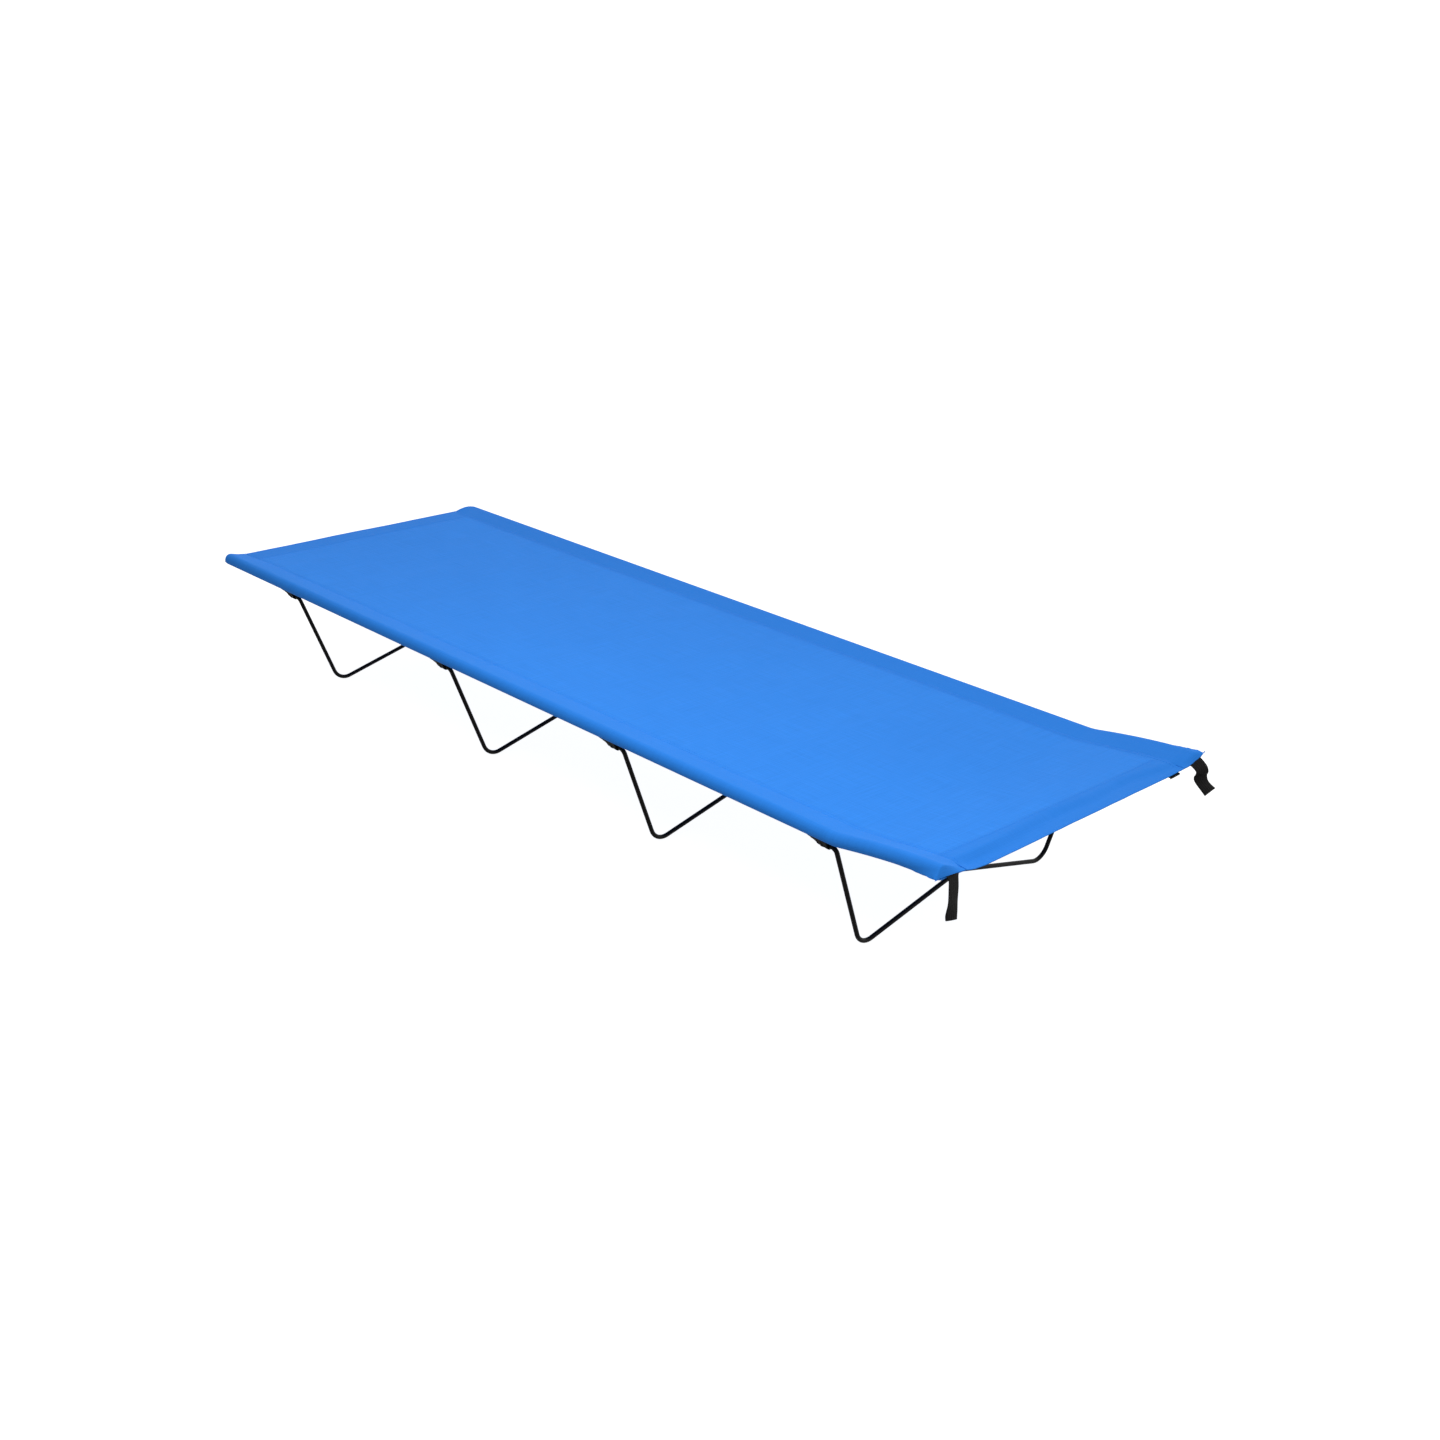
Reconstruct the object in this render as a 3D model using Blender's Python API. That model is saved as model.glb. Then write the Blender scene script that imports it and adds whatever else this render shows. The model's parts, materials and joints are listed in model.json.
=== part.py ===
"""A low folding camp bed: a cloth sling stretched between two side poles on four sprung wire legs.

Metres, +Z up. X runs along the bed from the foot end (-) to the head end (+), and the near side is at -Y.
The origin is on the floor, in the middle of the overall length and width. Distances along the bed, named
s below, are measured from the foot end. In a pole's cross-section u is outboard of its axis and w above it.
"""

import math

import bmesh
import bpy
from mathutils import Matrix, Vector

# Overall sizes
BED_LENGTH = 1.80
BED_WIDTH = 0.60
POLE_AXIS_HEIGHT = 0.1945
FIT = 0.0003

# Side poles: sections pushed together over joint tubes, with a plug in each open end
POLE_DIAMETER = 0.019
POLE_WALL = 0.001
SECTIONS = ("foot", "middle", "head")
JOINT_TUBE_LENGTH = 0.080
JOINT_TUBE_WALL = 0.0012
PLUG_HEAD = 0.004
PLUG_SHANK = 0.018
PLUG_ROUND = 0.002

# Head rest: past the knee both poles climb steeply at first and level out at the tip
HEAD_REST_LENGTH = 0.188
HEAD_RISE = 0.0215
RISE_POWER = 1.6
KNEE_SOFTENING = 0.010

# Cloth: a panel hung between the poles a little below their tops, a sleeve along each side that is sewn flat
# past the pole tips, and a hem at each end. The head hem hangs a little lower than the panel.
CLOTH = 0.0009
SLEEVE_WIDTH = 0.048
SLEEVE_TIP = 0.009
TIP_THICKNESS = 0.0055
PANEL_DROP = 0.006
PANEL_SAG = 0.002
HEM_WIDTH = 0.050
HEM_FOLD = 0.0009
HEAD_DROOP = 0.010
DROOP_START = 0.085
DROOP_LENGTH = 0.045
DROOP_POWER = 14
WINDOW_MARGIN = 0.004

# Wire legs: one W-shaped rod each, its ends bent along the bed and plugged into clips on the poles. The
# shifts are how far each stands from an even spacing, and the leans how far its feet stand from its top.
FOOT_LEG = 0.250
HEAD_LEG = 0.194
LEG_SHIFTS = (0.0, 0.023, 0.014, 0.0)
LEG_LEANS = (0.006, 0.005, -0.002, -0.007)
ROD_DIAMETER = 0.007
TOP_BEND = 0.009
FOOT_INSET = 0.073
FOOT_BEND = 0.028
PEAK_HEIGHT = 0.0515
PEAK_BEND = 0.030

# Moulded clips: a cradle under the pole with a blind socket for the rod's end below it
CLIP_LENGTH = 0.034
CLIP_TAPER = 0.010
CLIP_WALL = 0.0019
CLIP_LIP_ANGLE = -60.0
CLIP_CHEEK = 0.001
CLIP_FACE_GAP = 0.001
SOCKET_INSET = 0.0045
SOCKET_DROP = 0.0168
SOCKET_DEPTH = 0.023

# Webbing pull tabs sewn under the head corners, inboard of the poles. Each hangs through points given as
# (out past the head end, down from the sleeve's underside).
TAB_WIDTH = 0.025
TAB_THICKNESS = 0.0015
TAB_INSETS = {"near": 0.0138, "far": 0.0088}
TAB_ROOT = 0.024
TAB_HANGING = ((-0.0015, 0.0040), (0.0005, 0.0180), (0.0000, 0.0330), (-0.0018, 0.0490), (-0.0010, 0.0605))
TAB_SWUNG = ((0.0050, 0.0010), (0.0160, 0.0050), (0.0160, 0.0160), (0.0215, 0.0245), (0.0350, 0.0320))

# Facets, and the least distance from a swept piece's end to the next section
KNOT_MARGIN = 0.002
ROUND_SIDES = 16
ROD_SIDES = 8
BEND_STEPS = 5
CURVE_STEPS = 5
PANEL_STRIPS = 7
SLEEVE_STEPS = 12

# Worked out from the sizes above
POLE_RADIUS = POLE_DIAMETER / 2
POLE_BORE = POLE_RADIUS - POLE_WALL
SLEEVE_BORE = POLE_RADIUS + FIT
SLEEVE_RADIUS = SLEEVE_BORE + CLOTH
POLE_Y = BED_WIDTH / 2 - SLEEVE_RADIUS
SEAM = SLEEVE_WIDTH - SLEEVE_RADIUS
SEAM_LEVEL = SLEEVE_RADIUS - PANEL_DROP
SEAM_LIFT = math.degrees(math.atan(SEAM_LEVEL / SEAM))
SEAM_OPENING = math.degrees(math.acos(SLEEVE_RADIUS / math.hypot(SEAM, SEAM_LEVEL)))
SLEEVE_TOP_ANGLE = 180 - SEAM_LIFT - SEAM_OPENING
SLEEVE_UNDER_ANGLE = SEAM_OPENING - SEAM_LIFT - 180
SLEEVE_TURN = SLEEVE_TOP_ANGLE - SLEEVE_UNDER_ANGLE
SLEEVE_CORNER = SLEEVE_RADIUS / math.cos(math.radians(SLEEVE_TURN) / SLEEVE_STEPS / 2)
PLUG_FACE = SLEEVE_TIP - PLUG_ROUND + FIT
POLE_START = PLUG_FACE + PLUG_HEAD + FIT
KNEE = BED_LENGTH - HEAD_REST_LENGTH
ROD_RADIUS = ROD_DIAMETER / 2
SOCKET_RADIUS = ROD_RADIUS + FIT
SOCKET_Y = POLE_Y - SOCKET_INSET
SOCKET_Z = POLE_AXIS_HEIGHT - SOCKET_DROP
FOOT_Y = SOCKET_Y - FOOT_INSET
LEG_SPACING = (BED_LENGTH - FOOT_LEG - HEAD_LEG) / (len(LEG_SHIFTS) - 1)
LEG_PLACES = [FOOT_LEG + LEG_SPACING * step + shift for step, shift in enumerate(LEG_SHIFTS)]
CLIP_BORE = POLE_RADIUS + FIT
TAB_REACH = max(out for out, _ in TAB_SWUNG) + TAB_THICKNESS / 2
FOOT_X = -(BED_LENGTH + TAB_REACH) / 2
SIDES = {"near": -1, "far": 1}


def x_at(s):
    """World X of a distance s from the foot end."""
    return FOOT_X + s


def rail_knots():
    """Points (s, height) of a pole's axis, straight between one and the next."""
    knots = [(0.0, POLE_AXIS_HEIGHT), (KNEE - KNEE_SOFTENING, POLE_AXIS_HEIGHT)]
    stretch = BED_LENGTH - KNEE
    for ahead in (KNEE_SOFTENING, *(stretch * step / CURVE_STEPS for step in range(1, CURVE_STEPS + 1))):
        climbed = 1 - (1 - ahead / stretch) ** RISE_POWER
        knots.append((KNEE + ahead, POLE_AXIS_HEIGHT + HEAD_RISE * climbed))
    return knots


def foot_corner_height():
    """Height of a foot's unrounded corner that sets the bend's lowest point on the floor."""
    top, peak = Vector((SOCKET_Y, SOCKET_Z)), Vector((0.0, PEAK_HEIGHT))
    height = 0.0
    for _ in range(30):
        corner = Vector((FOOT_Y, height))
        out, back = (top - corner).normalized(), (peak - corner).normalized()
        half = out.angle(back) / 2
        lowest = (out + back).normalized().y * FOOT_BEND / math.sin(half) - FOOT_BEND
        height = ROD_RADIUS - lowest
    return height


def top_bend_reach():
    """How far a rod's upper bend reaches towards its clip, on the leg that leans that way most."""
    run = Vector((min(LEG_LEANS), FOOT_Y - SOCKET_Y, FOOT_CORNER_Z - SOCKET_Z))
    return TOP_BEND / math.tan(Vector((-1.0, 0.0, 0.0)).angle(run) / 2)


RAIL = rail_knots()
FOOT_CORNER_Z = foot_corner_height()
TOP_BEND_REACH = top_bend_reach()


def rail_z(s):
    """Height of a pole's axis at s."""
    for (before, low), (after, high) in zip(RAIL, RAIL[1:]):
        if s <= after:
            break
    return low + (high - low) * (s - before) / (after - before)


def stations(start, end):
    """Start, end and each knot of the rail between them, where a swept section is set."""
    return [start, *(s for s, _ in RAIL if start + KNOT_MARGIN < s < end - KNOT_MARGIN), end]


def material(name, colour, roughness, metallic=0.0):
    """A Principled material with one plain colour."""
    made = bpy.data.materials.new(name)
    made.use_nodes = True
    shader = made.node_tree.nodes["Principled BSDF"]
    shader.inputs["Base Color"].default_value = (*colour, 1.0)
    shader.inputs["Roughness"].default_value = roughness
    shader.inputs["Metallic"].default_value = metallic
    made.diffuse_color = (*colour, 1.0)
    return made


def add_object(name, bm, finish, origin=(0, 0, 0), parent=None, smooth_angle=35.0):
    """Turns world-space geometry into an object whose own origin is at the given point."""
    bmesh.ops.recalc_face_normals(bm, faces=bm.faces)
    bmesh.ops.translate(bm, verts=bm.verts, vec=-Vector(origin))
    mesh = bpy.data.meshes.new(name)
    bm.to_mesh(mesh)
    bm.free()
    mesh.shade_smooth()
    mesh.set_sharp_from_angle(angle=math.radians(smooth_angle))
    mesh.materials.append(finish)
    made = bpy.data.objects.new(name, mesh)
    bpy.context.scene.collection.objects.link(made)
    made.location = Vector(origin) - (parent.location if parent else Vector())
    made.parent = parent
    return made


def cut(target, name, bm):
    """Takes a shape out of an object, with the cutter left as a hidden guide."""
    bmesh.ops.recalc_face_normals(bm, faces=bm.faces)
    mesh = bpy.data.meshes.new(name)
    bm.to_mesh(mesh)
    bm.free()
    cutter = bpy.data.objects.new(name, mesh)
    bpy.context.scene.collection.objects.link(cutter)
    cutter.hide_render = True
    cutter.display_type = "WIRE"
    boolean = target.modifiers.new(name, "BOOLEAN")
    boolean.operation = "DIFFERENCE"
    boolean.solver = "EXACT"
    boolean.object = cutter


def arc(radius, start, end, steps, centre=(0.0, 0.0), outside=False):
    """Points along an arc, in degrees. Outside keeps its flats, and not its corners, at the radius."""
    turn = math.radians(end - start) / steps
    reach = radius / math.cos(turn / 2) if outside else radius
    angles = [math.radians(start) + turn * step for step in range(steps + 1)]
    return [(centre[0] + reach * math.cos(a), centre[1] + reach * math.sin(a)) for a in angles]


def circle(radius, sides=ROUND_SIDES, outside=False, centre=(0.0, 0.0)):
    """A round section as a polygon."""
    return arc(radius, 0.0, 360.0, sides, centre, outside)[:-1]


def bridge(bm, first, second):
    """Joins two rings of the same number of corners with quads."""
    for index in range(len(first)):
        after = (index + 1) % len(first)
        bm.faces.new((first[index], first[after], second[after], second[index]))


def ring(bm, s, height, section, side=1):
    """Puts a (y, z) section into the plane across the bed at s."""
    return [bm.verts.new((x_at(s), side * y, height + z)) for y, z in section]


def loft(bm, rows, side=1):
    """A closed solid through rows of (s, section), each set at the height of the pole's axis there."""
    rings = [ring(bm, s, rail_z(s), section, side) for s, section in rows]
    for first, second in zip(rings, rings[1:]):
        bridge(bm, first, second)
    bm.faces.new(rings[0])
    bm.faces.new(rings[-1])


def around_pole(section):
    """Moves a (u, w) section from the pole's axis to its place across the bed."""
    return [(POLE_Y + u, w) for u, w in section]


def tube(bm, start, end, radius, bore, side):
    """A length of hollow pole that follows the head rest's curve."""
    outer, inner = around_pole(circle(radius)), around_pole(circle(bore))
    places = stations(start, end)
    shells = [[ring(bm, s, rail_z(s), section, side) for s in places] for section in (outer, inner)]
    for shell in shells:
        for first, second in zip(shell, shell[1:]):
            bridge(bm, first, second)
    bridge(bm, shells[0][0], shells[1][0])
    bridge(bm, shells[0][-1], shells[1][-1])


def section_span(index):
    """Start and end of one pole section, with a fitting gap to the next."""
    usable = BED_LENGTH - 2 * POLE_START
    length = (usable - FIT * (len(SECTIONS) - 1)) / len(SECTIONS)
    start = POLE_START + index * (length + FIT)
    return start, start + length


def make_pole(side_name, side, steel, inner_steel, plastic):
    """Three sections, the joint tubes inside them and a plug in each open end."""
    for index, section in enumerate(SECTIONS):
        start, end = section_span(index)
        bm = bmesh.new()
        tube(bm, start, end, POLE_RADIUS, POLE_BORE, side)
        add_object(f"pole_{side_name}_{section}", bm, steel)
        if index:
            bm = bmesh.new()
            outer = POLE_BORE - FIT
            middle = start - FIT / 2
            reach = JOINT_TUBE_LENGTH / 2
            tube(bm, middle - reach, middle + reach, outer, outer - JOINT_TUBE_WALL, side)
            add_object(f"joint_tube_{side_name}_{index}", bm, inner_steel)
    for end_name, tip, inward in (("foot", PLUG_FACE, 1), ("head", BED_LENGTH - PLUG_FACE, -1)):
        head, shank = around_pole(circle(POLE_RADIUS)), around_pole(circle(POLE_BORE - FIT))
        face = around_pole(circle(POLE_RADIUS - PLUG_ROUND))
        nose = around_pole(circle(POLE_BORE - FIT - PLUG_ROUND))
        shoulder = tip + inward * PLUG_HEAD
        shank_end = shoulder + inward * PLUG_SHANK
        rows = [(tip, face), (tip + inward * PLUG_ROUND, head), (shoulder, head), (shoulder, shank)]
        rows += [(shank_end, shank), (shank_end + inward * PLUG_ROUND, nose)]
        bm = bmesh.new()
        loft(bm, rows, side)
        add_object(f"end_plug_{side_name}_{end_name}", bm, plastic)


def sleeve_arc(radius):
    """The round part of a sleeve, from its upper flat over the pole's outer side to its lower flat."""
    return arc(radius, SLEEVE_TOP_ANGLE, SLEEVE_UNDER_ANGLE, SLEEVE_STEPS, outside=True)


def droop(s):
    """How far the panel's middle hangs below its level near the head end."""
    share = (s - (BED_LENGTH - DROOP_START)) / DROOP_LENGTH
    share = min(1.0, max(0.0, share))
    return HEAD_DROOP * share * share * (3 - 2 * share)


def sling_section(s, fold):
    """The cloth across the bed at s: the panel, thicker by fold underneath, and both sleeves' outsides."""
    shares = [math.sin(math.pi * (step / PANEL_STRIPS - 0.5)) for step in range(PANEL_STRIPS + 1)]
    drops = [PANEL_SAG * (1 - share**2) + droop(s) * (1 - share**DROOP_POWER) for share in shares]
    top = [((POLE_Y - SEAM) * share, SEAM_LEVEL - drop) for share, drop in zip(shares, drops)]
    under = [(y, z - CLOTH - fold) for y, z in top]
    far = around_pole(sleeve_arc(SLEEVE_RADIUS))
    near = [(-y, z) for y, z in reversed(far)]
    return top + far + under[::-1] + near


def pressed_flat(section, share):
    """A sleeve tip's section, a share of the way from round to its flat end, in line with seam and axis."""
    keep = 1 - share + share * TIP_THICKNESS / 2 / SLEEVE_RADIUS
    pressed = []
    for y, z in section:
        level = (POLE_Y - abs(y)) / SEAM * SEAM_LEVEL
        pressed.append((y, level + (z - level) * keep if abs(y) > POLE_Y - SLEEVE_RADIUS else z))
    return pressed


def sleeve_bore(apex):
    """The space inside a sleeve: round at the pole and drawn to the seam, or round all over at the tips."""
    round_part = sleeve_arc(SLEEVE_BORE)
    if not apex:
        inboard = arc(SLEEVE_BORE, SLEEVE_UNDER_ANGLE, SLEEVE_TOP_ANGLE - 360.0, 6, outside=True)[1:-1]
        return around_pole(round_part + inboard)
    tip = Vector((-SEAM, SEAM_LEVEL)) * (SLEEVE_BORE / SLEEVE_RADIUS)
    lower = [tuple(Vector(round_part[-1]).lerp(tip, share)) for share in (1 / 3, 2 / 3)]
    upper = [tuple(tip.lerp(Vector(round_part[0]), share)) for share in (1 / 3, 2 / 3)]
    return around_pole([*round_part, *lower, tuple(tip), *upper])


def box(bm, s_range, y_range, z_range):
    """A plain block between three ranges."""
    low, high = z_range
    corners = [(y_range[0], low), (y_range[1], low), (y_range[1], high), (y_range[0], high)]
    first, second = ([bm.verts.new((x_at(s), y, z)) for y, z in corners] for s in s_range)
    bridge(bm, first, second)
    bm.faces.new(first)
    bm.faces.new(second)


def clip_span(place):
    """Blind end and socket face of the clip that takes the leg at this place."""
    face = place - TOP_BEND_REACH - CLIP_FACE_GAP
    return face - CLIP_LENGTH, face


def make_sling(cloth):
    """Panel, sleeves and hems as one piece of cloth, open below each clip."""
    foot_hem, head_hem = HEM_WIDTH, BED_LENGTH - HEM_WIDTH
    droop_start = BED_LENGTH - DROOP_START
    edges = (SLEEVE_TIP / 3, SLEEVE_TIP, foot_hem, foot_hem + HEM_FOLD, droop_start)
    edges += (head_hem - HEM_FOLD, head_hem, droop_start + DROOP_LENGTH)
    edges += (BED_LENGTH - SLEEVE_TIP, BED_LENGTH - SLEEVE_TIP / 3)
    rows = []
    for s in sorted({*stations(0.0, BED_LENGTH), *edges}):
        section = sling_section(s, 0.0 if foot_hem < s < head_hem else HEM_FOLD)
        from_tip = min(s, BED_LENGTH - s) / SLEEVE_TIP
        rows.append((s, pressed_flat(section, (1 - from_tip) ** 2) if from_tip < 1 else section))
    bm = bmesh.new()
    loft(bm, rows)
    sling = add_object("sling", bm, cloth)
    for side_name, side in SIDES.items():
        cut(sling, f"sleeve_{side_name}_cutter", sleeve_cutter(side))
        cut(sling, f"window_{side_name}_cutter", window_cutter(side))


def sleeve_cutter(side):
    """The whole space inside one sleeve, rounded at the plugs in the pole's ends."""
    rounded, drawn = sleeve_bore(False), sleeve_bore(True)
    shrink = 1 - PLUG_ROUND / SLEEVE_BORE
    small = [(POLE_Y + (y - POLE_Y) * shrink, z * shrink) for y, z in rounded]
    start, head_start = SLEEVE_TIP, BED_LENGTH - SLEEVE_TIP
    throat, head_throat = start + SLEEVE_BORE, head_start - DROOP_START
    rows = [(start - PLUG_ROUND, small), (start, rounded), (throat, rounded)]
    rows += [(s, drawn) for s in stations(throat + SLEEVE_BORE, head_throat - SLEEVE_BORE)]
    rows += [(s, rounded) for s in stations(head_throat, head_start)]
    rows += [(head_start + PLUG_ROUND, small)]
    bm = bmesh.new()
    loft(bm, rows, side)
    return bm


def window_cutter(side):
    """A gap in the sleeve's underside for each clip on one side."""
    inner = POLE_Y - CLIP_BORE - CLIP_WALL - WINDOW_MARGIN
    outer = POLE_Y + CLIP_BORE * math.cos(math.radians(CLIP_LIP_ANGLE)) + CLIP_WALL
    low, high = POLE_AXIS_HEIGHT - 2 * SLEEVE_RADIUS, POLE_AXIS_HEIGHT - CLOTH
    bm = bmesh.new()
    for place in LEG_PLACES:
        blind, face = clip_span(place)
        box(bm, (blind - WINDOW_MARGIN, face + WINDOW_MARGIN), (side * inner, side * outer), (low, high))
    return bm


def clip_outline(boss_radius, boss_lift):
    """A clip's cross-section: the cradle round the pole's lower inboard side, with the boss below it."""
    inside = arc(CLIP_BORE, CLIP_LIP_ANGLE, -180.0, 7, outside=True)
    cheek = [(-CLIP_BORE, CLIP_CHEEK), (-CLIP_BORE - CLIP_WALL, CLIP_CHEEK)]
    outside = arc(CLIP_BORE + CLIP_WALL, 180.0, 210.0, 2)
    boss = arc(boss_radius, 190.0, 340.0, 7, (-SOCKET_INSET, boss_lift - SOCKET_DROP))
    lip = arc(CLIP_BORE + CLIP_WALL * 0.8, CLIP_LIP_ANGLE, CLIP_LIP_ANGLE - 1.0, 1)[:1]
    return around_pole([*inside, *cheek, *outside, *boss, *lip])


def make_clip(name, place, side, plastic, parent=None):
    """A moulded clip under the pole, its blind end tapering up to the cradle."""
    blind, face = clip_span(place)
    boss = SOCKET_RADIUS + CLIP_WALL
    full = clip_outline(boss, 0.0)
    drawn_up = clip_outline(boss * 0.6, SOCKET_DROP - CLIP_BORE - CLIP_WALL - boss * 0.5)
    bm = bmesh.new()
    loft(bm, [(blind, drawn_up), (blind + CLIP_TAPER, full), (face, full)], side)
    origin = (x_at(face), side * SOCKET_Y, SOCKET_Z)
    clip = add_object(name, bm, plastic, origin, parent)
    bm = bmesh.new()
    hole = circle(SOCKET_RADIUS, 12, True, (SOCKET_Y, -SOCKET_DROP))
    loft(bm, [(face - SOCKET_DEPTH, hole), (face + CLIP_FACE_GAP, hole)], side)
    cut(clip, f"{name}_socket_cutter", bm)
    return clip


def rounded_route(corners, radii):
    """Points along straight runs between corners, with an arc of the given radius at each inner corner."""
    route = [corners[0]]
    for before, corner, after, radius in zip(corners, corners[1:], corners[2:], radii):
        back, ahead = (before - corner).normalized(), (after - corner).normalized()
        half = back.angle(ahead) / 2
        start, end = corner + back * (radius / math.tan(half)), corner + ahead * (radius / math.tan(half))
        centre = corner + (back + ahead).normalized() * (radius / math.sin(half))
        turn = math.pi - 2 * half
        axis = (start - centre).cross(end - centre).normalized()
        for step in range(BEND_STEPS + 1):
            route.append(centre + Matrix.Rotation(turn * step / BEND_STEPS, 3, axis) @ (start - centre))
    return [*route, corners[-1]]


def sweep(bm, route, radius, sides):
    """A round rod along a route, its facets carried along without twist."""
    forward = (route[1] - route[0]).normalized()
    across = forward.orthogonal().normalized()
    rings = []
    for index, point in enumerate(route):
        before, after = route[max(index - 1, 0)], route[min(index + 1, len(route) - 1)]
        heading = (after - before).normalized()
        across = (forward.rotation_difference(heading) @ across).normalized()
        forward = heading
        third = heading.cross(across)
        angles = [2 * math.pi * (side + 0.5) / sides for side in range(sides)]
        offsets = [across * math.cos(a) + third * math.sin(a) for a in angles]
        rings.append([bm.verts.new(point + offset * radius) for offset in offsets])
    for first, second in zip(rings, rings[1:]):
        bridge(bm, first, second)
    bm.faces.new(rings[0])
    bm.faces.new(rings[-1])


def make_leg(name, place, lean, steel):
    """One rod: plugged end, outer run, foot, inner run up to the middle, and the same again."""
    _, face = clip_span(place)
    end_x, top_x = x_at(face - SOCKET_DEPTH + FIT), x_at(place)
    peak_share = (SOCKET_Z - PEAK_HEIGHT) / (SOCKET_Z - FOOT_CORNER_Z)
    half = [Vector((end_x, SOCKET_Y, SOCKET_Z)), Vector((top_x, SOCKET_Y, SOCKET_Z))]
    half += [Vector((top_x + lean, FOOT_Y, FOOT_CORNER_Z))]
    peak = Vector((top_x + lean * peak_share, 0.0, PEAK_HEIGHT))
    near = [Vector((point.x, -point.y, point.z)) for point in half]
    radii = (TOP_BEND, FOOT_BEND, PEAK_BEND, FOOT_BEND, TOP_BEND)
    bm = bmesh.new()
    sweep(bm, rounded_route([*near, peak, *half[::-1]], radii), ROD_RADIUS, ROD_SIDES)
    return add_object(name, bm, steel, (top_x, -SOCKET_Y, SOCKET_Z), smooth_angle=60.0)


def smooth_route(points, steps):
    """Points on a Catmull-Rom curve through the given ones."""
    padded = [points[0], *points, points[-1]]
    route = []
    for p0, p1, p2, p3 in zip(padded, padded[1:], padded[2:], padded[3:]):
        for step in range(steps):
            t = step / steps
            first = p1 * 2 + (p2 - p0) * t
            rest = (p0 * 2 - p1 * 5 + p2 * 4 - p3) * t**2 + (p1 * 3 - p0 - p2 * 3 + p3) * t**3
            route.append((first + rest) / 2)
    return [*route, points[-1]]


def make_tab(name, side, centre, hang, webbing):
    """A webbing strap sewn under the sleeve's head end, bent over the edge and hanging free."""
    def under(s):
        return Vector((s, rail_z(s) - SLEEVE_CORNER - FIT - TAB_THICKNESS / 2))

    edge = under(BED_LENGTH)
    route = [under(BED_LENGTH - TAB_ROOT), under(BED_LENGTH - TAB_ROOT / 3)]
    route += [edge + Vector((out, -down)) for out, down in hang]
    route = smooth_route(route, 3)
    bm = bmesh.new()
    rings = []
    for index, point in enumerate(route):
        heading = (route[min(index + 1, len(route) - 1)] - route[max(index - 1, 0)]).normalized()
        normal = Vector((-heading.y, heading.x)) * (TAB_THICKNESS / 2)
        corners = [(point + normal, -1), (point + normal, 1), (point - normal, 1), (point - normal, -1)]
        places = [(x_at(at.x), side * centre + end * TAB_WIDTH / 2, at.y) for at, end in corners]
        rings.append([bm.verts.new(place) for place in places])
    for first, second in zip(rings, rings[1:]):
        bridge(bm, first, second)
    bm.faces.new(rings[0])
    bm.faces.new(rings[-1])
    return add_object(name, bm, webbing)


def main():
    """Builds the whole bed."""
    for old in list(bpy.data.objects):
        bpy.data.objects.remove(old, do_unlink=True)
    cloth = material("woven_cloth", (0.047, 0.255, 0.823), 0.75)
    steel = material("coated_steel", (0.012, 0.011, 0.012), 0.38)
    inner_steel = material("plain_steel", (0.50, 0.50, 0.51), 0.35, 1.0)
    plastic = material("moulded_plastic", (0.015, 0.015, 0.016), 0.5)
    webbing = material("webbing", (0.013, 0.011, 0.011), 0.85)

    make_sling(cloth)
    for side_name, side in SIDES.items():
        make_pole(side_name, side, steel, inner_steel, plastic)
    for number, (place, lean) in enumerate(zip(LEG_PLACES, LEG_LEANS), 1):
        leg = make_leg(f"leg_{number}", place, lean, steel)
        make_clip(f"clip_near_{number}", place, SIDES["near"], plastic)
        make_clip(f"clip_far_{number}", place, SIDES["far"], plastic, leg)
    for side_name, hang in (("near", TAB_HANGING), ("far", TAB_SWUNG)):
        centre = POLE_Y - TAB_INSETS[side_name]
        make_tab(f"pull_tab_{side_name}", SIDES[side_name], centre, hang, webbing)


main()
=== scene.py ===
"""The looks of a low camp bed: a blue woven sling on two side poles, four wire legs and black pull tabs.

Metres, +Z up. X runs along the bed from the foot end (-) to the raised head end (+), and the near side of the
photograph is at -Y. Distances along the bed, named s below, start at the foot end. On the flat cloth r runs
along the bed and c across it. In a side pole's cross-section u is outboard of its axis and w above it.
"""

from __future__ import annotations

import json
import logging
import math
from dataclasses import dataclass, field
from enum import Enum
from typing import Callable, NamedTuple, Union

import bmesh
import bpy
import numpy as np
from mathutils import Matrix, Vector

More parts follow.
